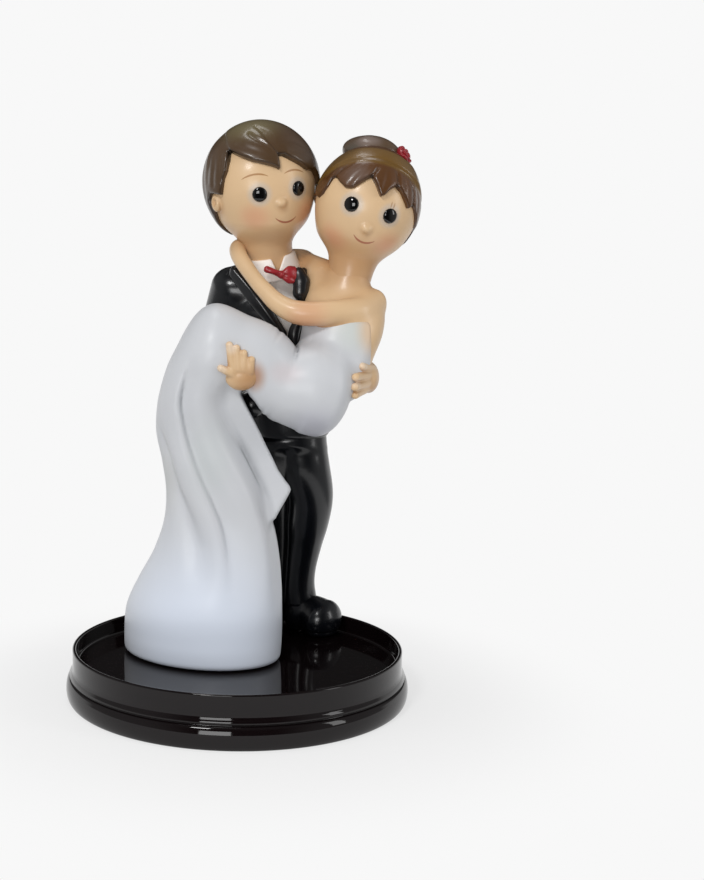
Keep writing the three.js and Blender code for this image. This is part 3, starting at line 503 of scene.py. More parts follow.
BRIDE_GROOVES = [
    ([(-14.3, 27), (-12, 33), (-9, 42)], 0.6, 0.4, 0.6),
    ([(17.6, 25.5), (17, 34), (13, 44)], 0.5, 0.4, 0.6),
    ([(-59, 16), (-52, 27), (-40, 38)], 0.5, 0.5, 0.6), ([(45.6, 12), (44, 26), (36, 40)], 0.5, 0.6, 0.4),
    ([(-36, 10), (-31, 24), (-23, 38)], 0.2, 0.7, 0.7),
    ([(-46, 13), (-41, 24), (-31, 38)], 0.16, 0.6, 0.6), ([(2, 11), (3, 26), (2, 42)], 0.2, 0.7, 0.7),
    ([(-26, 14), (-21, 28), (-15, 40)], 0.18, 0.6, 0.6), ([(30, 18), (28, 30), (23, 42)], 0.18, 0.7, 0.7),
    ([(58, 6), (55, 22), (46, 38)], 0.25, 0.8, 0.8), ([(-74, 0), (-70, 18), (-60, 32)], 0.25, 0.8, 0.8),
    ([(84, 0), (82, 24), (76, 40)], 0.3, 0.9, 0.9), ([(104, -20), (104, 8), (110, 40)], 0.3, 1.0, 1.0),
    ([(120, -34), (120, 4), (128, 38)], 0.3, 1.0, 1.0),
    ([(138, -38), (138, 0), (146, 36)], 0.3, 1.1, 1.1),
    ([(158, -40), (156, 0), (160, 36)], 0.3, 1.2, 1.2),
    ([(-178, -40), (-178, 0), (-178, 36)], 0.3, 1.2, 1.2),
    ([(-158, -40), (-158, 0), (-162, 36)], 0.3, 1.2, 1.2),
    ([(-140, -40), (-140, 0), (-147, 36)], 0.3, 1.2, 1.2),
    ([(-121, -34), (-121, 0), (-128, 36)], 0.3, 1.1, 1.1),
    ([(-102, -20), (-100, 8), (-106, 36)], 0.3, 1.0, 1.0),
]
# The band lies between two parallel planes of the bride's head
BAND_UP, BAND_LOW, BAND_HIGH, BAND_LIFT = (0.0, 0.65, 0.76), 1.6, 7.2, 0.75
BUN_AT, BUN_HALF, BUN_TILT = (36.6, 13.5, 142.8), (8.4, 7.4, 5.1), 8.0
ROSE_AT, ROSE_RING = (44.9, 10.0, 142.1), 1.7
EYE_RADIUS, EYE_DEPTH, EYE_ROOM = 2.0, 0.8, 3
EAR_RADIUS = 2.3
NOSE_HALF = (1.35, 1.15, 1.1)
# How far the hair is kept from the middle of the head, so that it stays a cap
HAIR_HOLLOW = 6.0
COIL_TURNS, COIL_CLIMB, COIL_DEPTH = 5.0, 3.2, 0.22


def directions(local):
    bearing = np.degrees(np.arctan2(local[:, 0], -local[:, 1]))
    height = np.degrees(np.arctan2(local[:, 2], np.hypot(local[:, 0], local[:, 1])))
    return bearing, height


def head_field(head, face):
    chin = head.placed(0.0, 0.2, -0.55 * head.half[2])
    nose = head.face_point(*face["nose"])
    lobe_half = (0.55 * EAR_RADIUS, 0.85 * EAR_RADIUS, 1.05 * EAR_RADIUS)
    shell_half = (0.75, 0.4 * EAR_RADIUS, 0.5 * EAR_RADIUS)

    def field(points):
        local = head.local(points)
        jaw = capsule(points, head.neck[1], chin, head.neck_radius * 1.02, head.half[0] * 0.7)
        neck = capsule(points, head.neck[0], head.neck[1], head.neck_radius * 1.06, head.neck_radius)
        body = merge(4.5, oval(local, (0, 0, 0), head.half), merge(3.0, jaw, neck))
        body = merge(1.0, body, oval(local, nose, NOSE_HALF))
        for direction in face["ears"]:
            spot = head.face_point(*direction)
            side = math.copysign(1.0, spot[0])
            lobe = oval(local, spot + (side * 0.2, 0.3, 0.0), lobe_half)
            shell = oval(local, spot + (side * 1.35, -0.45, 0.2), shell_half)
            body = carve(0.5, merge(0.7, body, lobe), shell)
        return body

    return field


def hair_field(head, bare, grooves, band=False):
    lift, top_lift = head.lift, head.top_lift
    size = head.half + (head.side_lift, lift * 1.3, (lift + top_lift) / 2)
    centre = (0.0, lift * 0.3, (top_lift - lift) / 2)
    to_flat = np.array((0.88, 1.0)) * math.radians(head.half[0] + lift)
    lines = [(np.array(stops) * to_flat, *rest) for stops, *rest in grooves]

    def field(points):
        local = head.local(points)
        bearing, height = directions(local)
        flat = np.stack([bearing, height], axis=1) * to_flat
        cap = oval(local, centre, size) + pressed(flat, lines, 0.1, 0.5)
        if band:
            level = local @ np.array(BAND_UP, dtype=np.float32)
            fade = 1.0 - ease(45.0, 80.0, np.abs(bearing))
            under = 1.0 - ease(BAND_HIGH - 1.0, BAND_HIGH + 1.0, level)
            cap = cap - BAND_LIFT * fade * ease(BAND_LOW - 0.5, BAND_LOW + 0.7, level) * under
            cap = cap + 0.2 * np.exp(-(((level - BAND_LOW) / 0.5) ** 2))
        edge = outline_distance(flat, np.array(bare) * to_flat)
        hair = common(0.9, cap, -edge)
        return np.maximum(hair, HAIR_HOLLOW - length(local))

    return field


def eye_field(head, direction):
    spot = head.face_point(*direction)
    facing = spot / head.half**2
    facing = Vector(facing / np.linalg.norm(facing))
    axes = np.array(Vector((0.0, -1.0, 0.0)).rotation_difference(facing).to_matrix(), dtype=np.float32)
    radius = settings().eye_radius / MM

    def field(points):
        return oval(head.local(points), spot, (radius, EYE_DEPTH, radius), axes)

    return field


def bun_field():
    axes = np.array(Matrix.Rotation(math.radians(BUN_TILT), 3, "Y"), dtype=np.float32)

    def field(points):
        local = (points - np.array(BUN_AT, dtype=np.float32)) @ axes
        bun = oval(local, (0, 0, 0), BUN_HALF)
        around = np.arctan2(local[:, 1], local[:, 0])
        climb = local[:, 2] / BUN_HALF[2]
        coil = np.sin(COIL_TURNS * around + COIL_CLIMB * climb)
        return bun + COIL_DEPTH * coil * (1.0 - np.clip(climb, -1.0, 1.0) ** 2)

    return field


# The couple's landmarks: bodies and clothes

GROOM_TRUNK = [
    ((15.3, 22.4, 59.5), 9.4, 10.0), ((14.8, 21.5, 66.0), 12.9, 10.1), ((14.0, 19.0, 78.3), 11.9, 8.8),
    ((9.9, 17.5, 96.8), 15.0, 9.8), ((8.6, 17.0, 104.0), 13.5, 8.4), ((8.5, 15.1, 110.4), 9.3, 7.8),
]
JACKET_HEM, JACKET_THICKNESS = 61.8, 2.3
OPENING_DEPTH = 17.5
SLEEVE_CREASES = (0.55, 0.72, 0.9)
CREASE_SPREAD, CREASE_SLANT, CREASE_WIDTH, CREASE_DEPTH = 14.0, 0.25, 0.22, 0.22
SHIRT_INSET, SHIRT_OVERLAP, SHIRT_BACK, SHIRT_TOP = 0.6, 1.6, 16.0, 111.5
# The button strip, as its place at a height, its slant, half width and depth
PLACKET_X, PLACKET_Z, PLACKET_SLANT, PLACKET_WIDTH, PLACKET_DEPTH = 10.6, 100.0, -0.12, 0.35, 0.18
COLLAR_FOOT, COLLAR_TOP = (8.7, 15.4, 109.2), (8.0, 14.5, 113.2)
COLLAR_WALL, COLLAR_HEIGHT, COLLAR_ROOT = 1.55, 5.6, 0.6
COLLAR_NOTCH, COLLAR_NOTCH_DEPTH = [(10.4, 109.0), (13.6, 118.6), (6.0, 118.6)], 15.4
BOW_KNOT, BOW_KNOT_HALF = (11.3, 4.7, 108.8), (0.9, 1.45, 1.1)
# Each wing of the bow as its side, lift, half height and reach
BOW_WINGS = ((-1, 1.5, 0.95, 4.2), (1, 0.0, 2.4, 3.6))
JACKET_OPENING = [
    (0.6, 112.3), (0.6, 120.4), (17.5, 120.4), (17.5, 109.6), (15.0, 89.6), (14.2, 84.0), (12.2, 91.8),
]
RIGHT_LAPEL = [((-1.6, 9.6, 109.2), 1.7, 1.0), ((4.6, 6.6, 101.8), 2.3, 1.0), ((11.4, 6.4, 92.6), 1.5, 1.0)]
LEFT_LOBES = [
    ((16.8, 5.6, 107.0), (2.4, 1.5, 2.6)), ((16.7, 5.4, 104.0), (2.2, 1.5, 2.3)),
    ((16.2, 6.0, 109.4), (1.6, 1.2, 1.6)), ((14.9, 6.0, 91.6), (1.4, 1.3, 3.2)),
]
LEFT_LAPEL = [((17.8, 9.4, 109.0), 1.6, 1.0), ((16.8, 6.4, 99.2), 1.7, 1.0), ((14.6, 6.7, 89.6), 1.1, 1.0)]
RIGHT_SLEEVE = [
    ((-1.6, 16.8, 104.8), 7.0), ((-5.0, 20.8, 95.6), 6.0), ((-8.8, 24.0, 85.0), 4.9),
    ((-5.7, 18.5, 76.3), 4.52), ((1.2, 6.5, 72.6), 4.2), ((3.6, -3.6, 73.2), 3.7),
]
LEFT_SLEEVE = [
    ((22.2, 19.0, 101.9), 5.3), ((28.3, 23.5, 94.2), 4.98), ((31.0, 21.5, 86.5), 4.65),
    ((33.3, 15.5, 82.6), 4.33), ((35.1, 10.7, 81.4), 4.0),
]
LEFT_LEG = [
    ((17.4, 21.4, 61.0), 7.9), ((19.2, 21.4, 53.0), 7.6), ((21.3, 23.7, 44.1), 6.85),
    ((20.9, 26.4, 36.0), 6.35), ((20.1, 29.2, 28.5), 5.4), ((19.2, 31.0, 21.0), 4.75),
    ((18.9, 32.0, 15.0), 4.7), ((19.3, 33.0, 8.6), 5.3),
]
RIGHT_LEG = [
    ((10.0, 21.9, 61.0), 8.4), ((9.6, 22.4, 53.0), 7.73), ((10.0, 25.2, 44.1), 6.6),
    ((10.5, 30.7, 28.5), 5.54), ((10.3, 33.0, 15.0), 4.9), ((10.3, 34.2, 8.6), 5.2),
]
HIPS = [((15.0, 20.5, 72.7), 9.6, 7.0), ((15.2, 21.5, 66.0), 10.0, 8.4), ((15.0, 21.5, 60.0), 9.9, 9.0)]
LEFT_SHOE = [((19.2, 33.6, 4.4), 4.8, 4.1), ((22.6, 30.7, 5.9), 5.3, 5.6), ((25.8, 27.7, 4.9), 6.7, 6.4)]
RIGHT_SHOE = [((10.3, 36.2, 4.4), 4.8, 4.1), ((9.0, 34.0, 4.9), 5.04, 4.8), ((7.2, 31.4, 4.8), 6.3, 6.3)]
SHOE_ROOM = ((14, 14, 6), (14, 14, 8))
TROUSER_HEM = 8.6
ANKLE_RADII, SOLE_HEIGHT, SOLE_SEAM = (4.5, 4.9), 1.9, 0.3
GLUE_LINE = 0.3

# Each hand is the palm's place and half widths, its fingers from root to tip, and their radius
RIGHT_HAND = ((0.4, -16.0, 82.3), (4.5, 2.7, 4.2), [
    ((-1.9, -17.8, 83.8), (-2.8, -19.1, 90.2)), ((-0.4, -18.0, 84.2), (-0.9, -18.9, 89.4)),
    ((1.1, -18.0, 84.0), (1.0, -18.7, 88.1)), ((2.6, -17.8, 83.5), (3.0, -18.5, 86.4)),
    ((-2.2, -17.7, 82.8), (-5.0, -18.9, 84.1)),
], 1.2)
LEFT_HAND = ((35.6, 1.0, 80.8), (3.0, 6.0, 4.4), [
    ((35.6, -2.8, 83.6), (32.9, -8.9, 84.3)), ((35.4, -3.4, 81.8), (31.0, -12.1, 81.6)),
    ((35.2, -3.4, 79.9), (30.8, -12.3, 79.0)), ((34.8, -2.8, 78.2), (31.0, -10.9, 76.8)),
], 1.4)

SHOULDER_ACROSS = (14.8, -6.0, -7.0)
TORSO_UP = (0.19, 0.3, 0.93)
TORSO = [
    ((22.7, -5.0, 77.0), 9.7, 8.2), ((26.4, -1.5, 87.5), 10.3, 8.2), ((28.5, 0.5, 94.7), 11.0, 8.0),
    ((29.3, 3.1, 101.0), 10.6, 6.2), ((29.9, 4.2, 105.5), 6.8, 5.6), ((30.4, 5.0, 109.5), 5.6, 5.5),
]
CHEST_SIDE, CHEST_SIDE_RADII = ((22.6, 5.0, 98.5), (22.4, 8.6, 108.0)), (4.1, 3.5)
TORSO_ROUNDING, BODICE_THICKNESS = 3.0, 0.4
# The neckline is cut by two planes, each a place and the way out
NECKLINE = (((26.0, -9.0, 97.2), (0.1, -0.1, 1.0)), ((34.9, -3.0, 91.0), (1.0, 0.25, 0.06)))
FRONT_ARM = [
    ((36.8, 1.5, 101.5), 3.72), ((32.1, -3.7, 99.2), 3.59), ((24.3, -6.7, 98.5), 3.4),
    ((16.0, -7.1, 98.5), 3.25), ((10.6, -5.4, 100.7), 2.7), ((6.4, -2.5, 104.6), 2.3),
    ((3.1, 1.0, 108.5), 2.15), ((-0.4, 6.3, 113.8), 2.3), ((-0.4, 13.5, 116.5), 2.4),
    ((4.1, 20.3, 115.9), 2.4),
]
BACK_ARM = [
    ((26.5, 6.0, 108.4), 3.4), ((22.5, 10.0, 110.4), 3.3), ((19.5, 15.0, 112.0), 3.1),
    ((17.7, 20.5, 113.4), 3.0), ((13.7, 23.9, 113.8), 2.79),
]
CLASPED_HALF, CLASPED_SPACING, CLASPED_RADII = (3.5, 2.1, 2.9), 1.5, (0.98, 0.85)
CLASPED_LEFT, CLASPED_RIGHT = (7.6, 24.1, 114.7), (11.3, 25.1, 109.7)

# Each skirt outline is height, centre depth, left edge, right edge and half depth
SKIRT_OUTLINES = [
    (0.0, 7.4, -33.0, 12.2, 19.6), (6.0, 6.6, -33.0, 12.6, 19.4), (14.5, 3.6, -32.0, 12.6, 17.2),
    (23.2, 2.2, -28.7, 12.5, 15.3), (31.9, 0.5, -24.6, 11.6, 13.7), (40.6, -1.0, -21.6, 9.9, 12.6),
    (49.2, -2.3, -20.8, 6.7, 12.1), (57.8, -3.3, -21.8, 3.0, 12.1), (66.1, -3.7, -22.9, -1.0, 12.3),
    (74.5, -5.3, -22.3, -3.5, 12.3), (82.8, -6.5, -20.1, -1.0, 11.9), (89.2, -7.1, -17.5, 1.0, 11.1),
    (94.7, -7.3, -14.4, 0.4, 9.1), (98.4, -7.5, -11.2, -2.1, 6.0), (101.0, -7.5, -8.8, -4.5, 2.7),
]
KNEE_HEIGHT, KNEE_DOME = 82.8, 17.6
LAP = [
    ((22.2, -4.7, 77.3), 12.7), ((18.1, -5.7, 78.3), 12.4), ((10.5, -6.7, 79.9), 10.2),
    ((4.3, -7.3, 85.3), 10.7), ((-2.1, -7.3, 87.5), 10.9), ((-6.2, -7.3, 87.9), 11.1),
]
HEM_TWIST, HEM_TWIST_REACH = -0.22, 60.0
FOLD_SCALE = 0.26
# Folds of the skirt: stops as angle round it and height, then depth, and half widths left and right
SKIRT_FOLDS = [
    ([(-22, 88), (-21, 82), (-18.5, 76.8), (-12.8, 70.2), (-10.8, 64.7), (-9.7, 58.8), (-6.2, 53.4),
      (-0.5, 48.4), (6.7, 42.4), (11.4, 37.3), (17, 29), (22, 20)], 2.2, 6.0, 1.3),
    ([(-66, 70), (-60, 62), (-57, 56), (-52, 50.2), (-42.9, 46.4), (-32.2, 41.1), (-18.3, 34.4),
      (-8, 26), (-4, 18)], 2.1, 3.2, 3.0),
    ([(46, 82), (58, 76), (68, 70), (73, 63), (78, 56), (82, 49), (86, 42), (88, 34)], 1.0, 1.6, 0.9),
    ([(60, 50), (68, 38), (72, 24), (74, 12)], 0.9, 4.0, 4.0),
    ([(112, 70), (118, 40), (124, 8)], 1.5, 4.5, 4.5), ([(166, 78), (172, 42), (178, 6)], 1.7, 5.0, 5.0),
    ([(-122, 76), (-128, 40), (-134, 6)], 1.5, 4.5, 4.5), ([(-94, 66), (-92, 40), (-88, 14)], 0.9, 4.5, 4.5),
]
SKIRT_RIDGES = [
    ([(-40, 72), (-32, 60), (-24, 50), (-12, 42), (-2, 34), (4, 22), (6, 8)], 0.8, 4.0, 4.0),
    ([(30, 66), (40, 52), (46, 38), (48, 24), (50, 8)], 0.7, 4.5, 4.5),
]
FLAP = [
    (-4.0, 82.0), (-1.2, 82.0), (-0.5, 79.5), (0.5, 76.6), (2.2, 73.2), (3.9, 69.8), (5.5, 66.5),
    (7.1, 63.0), (9.0, 59.2), (10.8, 55.4), (12.7, 52.6), (14.0, 51.0), (14.4, 49.8), (13.8, 48.4),
    (12.0, 45.1), (10.2, 41.8), (4.0, 40.0), (-4.0, 60.0), (-6.0, 76.0),
]
# Between these heights the flying edge leans forward to the hand that holds it
FLAP_TUCK, FLAP_LEAN = (57.0, 83.0), 7.6
FLAP_FORWARD, FLAP_SLANT, FLAP_MIDDLE, FLAP_HALF_THICKNESS = 5.2, 0.04, 60.0, 0.95
FLAP_WAVE, FLAP_WAVE_RATE = 0.5, 0.16
# The dark opening between the flying edge and the lap, as seen from the front
OPENING = [
    (-1.4, 78.2), (1.4, 78.4), (2.8, 76.2), (4.2, 74.5), (6.1, 71.4), (8.3, 69.1), (11.0, 67.0), (12.0, 58.0),
    (6.0, 59.0), (2.4, 67.0), (-0.4, 74.6),
]


def trunk_sweep():
    return Sweep(GROOM_TRUNK, across=(1.0, 0.0, 0.08), dome=0.3)


def jacket_field():
    trunk = trunk_sweep()
    right, left = Sweep(RIGHT_SLEEVE, dome=0.9), Sweep(LEFT_SLEEVE, dome=0.9)

    def field(points):
        body = trunk.distance(points)
        body = common(0.8, body, JACKET_HEM - points[:, 2])
        front = np.maximum(outline_distance(points[:, [0, 2]], JACKET_OPENING), points[:, 1] - OPENING_DEPTH)
        body = carve(0.7, body, np.maximum(front, -(body + JACKET_THICKNESS)))
        sleeves = []
        for sleeve in (right, left):
            along, placed, sizes = sleeve.local(points)
            reach = length(placed[:, :2])
            crease = 0.0
            for middle in SLEEVE_CREASES:
                mark = (along / sleeve.last - middle) * CREASE_SPREAD + placed[:, 0] * CREASE_SLANT
                crease = crease + np.exp(-((mark / CREASE_WIDTH) ** 2))
            sleeves.append(sleeve.distance(points) + CREASE_DEPTH * crease * (reach < sizes[:, 0] * 1.6))
        return merge(2.6, body, *sleeves)

    return field


def shirt_field():
    trunk = trunk_sweep()

    def field(points):
        body = trunk.distance(points) + SHIRT_INSET
        front = outline_distance(points[:, [0, 2]], JACKET_OPENING) - SHIRT_OVERLAP
        body = common(0.4, body, front, points[:, 1] - SHIRT_BACK, points[:, 2] - SHIRT_TOP)
        placket = np.abs(points[:, 0] - PLACKET_X - (points[:, 2] - PLACKET_Z) * PLACKET_SLANT)
        return body + PLACKET_DEPTH * np.exp(-((placket / PLACKET_WIDTH) ** 2))

    return field


def collar_field():
    foot, top = np.array(COLLAR_FOOT), np.array(COLLAR_TOP)
    rise = (top - foot) / np.linalg.norm(top - foot)
    band = Sweep([(foot - rise * 4, 10.2), (foot, 9.0), (top, 7.9), (top + rise * 4, 7.1)])

    def field(points):
        climb = (points - foot) @ rise
        outer = band.distance(points)
        ring = common(0.5, outer, -(outer + COLLAR_WALL), climb - COLLAR_HEIGHT, -climb - COLLAR_ROOT)
        notch = outline_distance(points[:, [0, 2]], COLLAR_NOTCH)
        front = np.maximum(notch, points[:, 1] - COLLAR_NOTCH_DEPTH)
        return carve(0.5, ring, front)

    return field


def lapel_field(stations, lean, lobes):
    run = Sweep(stations, across=(1.0, 0.25 * lean, 0.3), dome=1.6)

    def field(points):
        _, placed, _ = run.local(points)
        fold = np.exp(-(((placed[:, 0] * lean + 0.3) / 0.9) ** 2))
        body = run.distance(points) - 0.4 * fold
        for place, half in lobes:
            body = merge(1.2, body, oval(points, place, half))
        return body

    return field


def bow_field():
    knot = np.array(BOW_KNOT)
    wings = []
    for side, lift, tall, reach in BOW_WINGS:
        tip = knot + (side * reach, side * 0.5, lift)
        middle = knot + (side * reach / 2, side * 0.2 - 0.25, lift * 0.45)
        stations = [(knot, 1.0, 0.9), (middle, 1.15, tall), (tip, 0.9, tall)]
        wings.append(Sweep(stations, across=(0, 1, 0), dome=0.8))

    def field(points):
        body = merge(0.5, *[wing.distance(points) for wing in wings])
        for wing in wings:
            along, placed, _ = wing.local(points)
            ridge = np.exp(-((placed[:, 1] / 0.45) ** 2)) * (1.0 - ease(0.5, 1.6, along))
            body = body + 0.25 * ridge * (length(placed) < 4.0)
        return merge(0.35, body, oval(points, knot, BOW_KNOT_HALF))

    return field


def hand_field(palm, half, fingers, finger_radius):
    def field(points):
        body = oval(points, palm, half)
        for start, end in fingers:
            body = merge(0.6, body, capsule(points, start, end, finger_radius, finger_radius * 0.8))
        return body

    return field


def clasped_fields(points):
    hands = []
    for palm, side in ((CLASPED_LEFT, 1), (CLASPED_RIGHT, -1)):
        palm = np.array(palm, dtype=np.float32)
        body = oval(points, palm, CLASPED_HALF)
        for k in range(4):
            level = (k - 1.5) * CLASPED_SPACING
            start = palm + (side * 1.5, 0.9, level)
            end = palm + (side * 4.6, 1.1, level - 0.8)
            body = merge(0.6, body, capsule(points, start, end, *CLASPED_RADII))
        hands.append(body)
    return hands


def bride_body_field():
    torso = Stack(TORSO, SHOULDER_ACROSS, TORSO_UP)
    front, back = Sweep(FRONT_ARM, dome=0.8, steps=5), Sweep(BACK_ARM, dome=0.8)

    def field(points):
        body = merge(1.6, torso.distance(points, TORSO_ROUNDING), front.distance(points))
        side = capsule(points, *CHEST_SIDE, *CHEST_SIDE_RADII)
        body = merge(3.0, body, back.distance(points), side)
        return merge(0.7, body, *clasped_fields(points))

    return field


def trousers_field():
    hips = Sweep(HIPS, dome=0.25)
    left, right = Sweep(LEFT_LEG, dome=0.2), Sweep(RIGHT_LEG, dome=0.2)

    def field(points):
        body = merge(1.2, left.distance(points), right.distance(points))
        body = common(0.5, body, TROUSER_HEM - points[:, 2])
        return merge(2.2, body, hips.distance(points))

    return field


def shoe_field(stations):
    body = Sweep(stations, across=(1.0, 1.0, 0.0), dome=0.85)
    heel = stations[0][0]

    def field(points):
        shoe = body.distance(points)
        ankle = capsule(points, heel, (heel[0], heel[1], TROUSER_HEM), *ANKLE_RADII)
        ankle = common(0.3, ankle, points[:, 2] - TROUSER_HEM - 0.2)
        sole = np.exp(-(((points[:, 2] - SOLE_HEIGHT) / SOLE_SEAM) ** 2))
        return common(0.5, merge(2.6, shoe, ankle) + SOLE_SEAM * sole, GLUE_LINE - points[:, 2])

    return field


class Skirt:
    """The hanging part of the dress: ovals stacked on each other, with folds pressed into them."""

    def __init__(self):
        self.stack = Stack([(((a + b) / 2, y, z), (b - a) / 2, d) for z, y, a, b, d in SKIRT_OUTLINES])
        scale = np.array((FOLD_SCALE, 1.0))
        self.folds = [(np.array(stops) * scale, *rest) for stops, *rest in SKIRT_FOLDS]
        self.ridges = [(np.array(stops) * scale, *rest) for stops, *rest in SKIRT_RIDGES]
        knee = np.array([(0.0, 0.0, KNEE_HEIGHT)], dtype=np.float32)
        self.knee_wide, self.knee_deep = (float(value[0]) for value in self.stack.frame_at(knee)[3:])

    def distance(self, points):
        dx, dy, level, wide, deep = self.stack.frame_at(points)
        dy = dy - HEM_TWIST * np.clip(1.0 - level / HEM_TWIST_REACH, 0.0, 1.0) * dx
        above = np.maximum(level - KNEE_HEIGHT, 0.0)
        wide = np.where(above > 0.0, self.knee_wide, wide)
        deep = np.where(above > 0.0, self.knee_deep, deep)
        near = np.sqrt((dx / wide) ** 2 + (dy / deep) ** 2 + (above / KNEE_DOME) ** 2)
        steep = np.sqrt((dx / wide**2) ** 2 + (dy / deep**2) ** 2 + (above / KNEE_DOME**2) ** 2)
        body = true_distance(near, steep, SMALL)
        angle = np.degrees(np.arctan2(dx / wide, -dy / deep))
        flat = np.stack([angle * FOLD_SCALE, points[:, 2]], axis=1)
        return body + pressed(flat, self.folds, 0.2, 0.35) - pressed(flat, self.ridges, 0.35, 0.35)


def dress_field():
    skirt = Skirt()
    lap = Sweep(LAP, across=(0.0, 0.0, 1.0), dome=0.6)
    torso = Stack(TORSO, SHOULDER_ACROSS, TORSO_UP)

    def field(points):
        flat = points[:, [0, 2]]
        height = points[:, 2]
        forward = FLAP_FORWARD + FLAP_SLANT * (height - FLAP_MIDDLE) + FLAP_LEAN * ease(*FLAP_TUCK, height)
        wave = FLAP_WAVE * np.sin(height * FLAP_WAVE_RATE)
        sheet = np.abs(points[:, 1] + forward - wave) - FLAP_HALF_THICKNESS
        flap = common(1.0, sheet, outline_distance(flat, FLAP))
        body = merge(4.5, skirt.distance(points), lap.distance(points))
        body = carve(0.8, body, outline_distance(flat, OPENING))
        body = merge(2.0, body, flap)
        body = common(1.8, body, GLUE_LINE - points[:, 2])
        bodice = torso.distance(points, TORSO_ROUNDING) - BODICE_THICKNESS
        for place, out in NECKLINE:
            out = np.array(out) / np.linalg.norm(out)
            bodice = common(1.5, bodice, (points - place) @ out)
        return merge(2.4, body, bodice)

    return field


# Node helpers


def connect(tree, socket, value):
    if isinstance(value, bpy.types.NodeSocket):
        tree.links.new(value, socket)
    elif value is not None:
        socket.default_value = value


def add_node(tree, kind, inputs=None, **settings):
    node = tree.nodes.new(kind)
    for key, value in settings.items():
        setattr(node, key, value)
    for key, value in (inputs or {}).items():
        connect(tree, node.inputs[key], value)
    return node


def calc(tree, operation, *values, clamp=False):
    inputs = dict(enumerate(values))
    return add_node(tree, "ShaderNodeMath", inputs, operation=operation, use_clamp=clamp).outputs[0]


def vector_calc(tree, operation, *values):
    node = add_node(tree, "ShaderNodeVectorMath", dict(enumerate(values)), operation=operation)
    return node.outputs["Value" if operation in ("LENGTH", "DISTANCE", "DOT_PRODUCT") else "Vector"]


def upward(tree, height):
    return add_node(tree, "ShaderNodeCombineXYZ", {2: height}).outputs[0]


def placed_form(tree, form, move=(0.0, 0.0, 0.0), turn=(0.0, 0.0, 0.0), scale=(1.0, 1.0, 1.0)):
    node = add_node(tree, "GeometryNodeTransform", {
        "Geometry": form, "Translation": move, "Rotation": Euler(turn), "Scale": scale,
    })
    return node.outputs[0]


def blend(tree, share, first, second):
    node = add_node(tree, "ShaderNodeMix", {0: share, 6: first, 7: second}, data_type="RGBA")
    return node.outputs[2]


def ramp(tree, value, low, high, at_low, at_high):
    node = add_node(tree, "ShaderNodeMapRange", {
        0: value, 1: low, 2: high, 3: at_low, 4: at_high,
    }, interpolation_type="SMOOTHERSTEP")
    return node.outputs[0]


# Turned and repeated parts


def rounded_profile(corners, steps=6, guard=0.12):
    """Profile points in which every corner is given as radius, height and rounding."""
    points = []
    for k, (x, z, rounding) in enumerate(corners):
        here = Vector((x, z))
        if rounding == 0.0:
            points.append(tuple(here))
            continue
        before = (Vector(corners[k - 1][:2]) - here).normalized()
        after = (Vector(corners[(k + 1) % len(corners)][:2]) - here).normalized()
        half = math.acos(max(-1.0, min(1.0, before.dot(after)))) / 2
        run = rounding / math.tan(half)
        centre = here + (before + after).normalized() * rounding / math.sin(half)
        start, end = here + before * run, here + after * run
        points.append(tuple(start + before * guard))
        for step in range(steps + 1):
            ray = (start - centre).lerp(end - centre, step / steps)
            points.append(tuple(centre + ray.normalized() * rounding))
        points.append(tuple(end + after * guard))
    return points


def turned(profile, centre, segments):
    """Closed solid of revolution, of a profile from the axis and back to it."""
    shape = bmesh.new()
    corners = [shape.verts.new((x, 0.0, z)) for x, z in profile]
    edges = [shape.edges.new(pair) for pair in zip(corners, corners[1:])]
    bmesh.ops.spin(
        shape, geom=corners + edges, cent=(0, 0, 0), axis=(0, 0, 1), dvec=(0, 0, 0), angle=math.tau,
        steps=segments, use_merge=True,
    )
    bmesh.ops.remove_doubles(shape, verts=shape.verts, dist=1e-5)
    bmesh.ops.recalc_face_normals(shape, faces=shape.faces)
    for corner in shape.verts:
        corner.co = corner.co + Vector((*centre, -TRAY_FLOOR))
        corner.co = world_vector(*corner.co)
    return shape


RIM_HEIGHT, RIM_RADIUS, RIM_WALL, RIM_ROUNDING = 14.1, 46.4, 1.1, 0.4
COVE_TOP, COVE_FOOT, COVE_FLARE = 9.0, 6.7, 0.9
GROOVE_HEIGHT, GROOVE_DEPTH = 0.5, 0.5
FOOT_BULGE, FOOT_TUCK, FOOT_WALL = 48.2, 1.1, 1.8
FLOOR_THICKNESS, INNER_FILLET = 1.6, 0.8
UNDERSIDE_CHAMFER = (1.4, 2.4)
BOSS_RADIUS, BOSS_HEIGHT = 4.2, 3.6
SCREW_PLACES = ((-10.0, 2.0), (19.6, 33.6))
SCREW_HEAD, SCREW_HEAD_HEIGHT, SCREW_SHANK, SCREW_BITE = 2.5, 1.4, 1.3, 5.5
HEAD_PLAY, CREST_HEIGHT = 0.02, 0.25
PLINTH_SIDES, BOSS_SIDES = 240, 48
# The two bars of the cross recess, as turn and depth in metres, with their length and width
RECESS_BARS, RECESS_LENGTH, RECESS_WIDTH = ((0.0, 0.0014), (math.pi / 2, 0.0013)), 0.0026, 0.0005
HEAD_SIDES, SHANK_SIDES, THREAD_STEPS, THREAD_SIDES, THREAD_RADIUS = 48, 32, 24, 6, 0.00025
PETAL_SEGMENTS, PETAL_RINGS, PETAL_SHAPE = 20, 12, (0.42, 1.0, 0.9)
# Each ring of petals as its share of the ring radius, its height and its turn
PETAL_WHORLS = ((1.0, 0.0, 0.0), (0.5, 0.0006, 0.6))
ROSE_FACING, WANDER_SEED = (math.radians(62), 0.0, math.radians(62)), 11


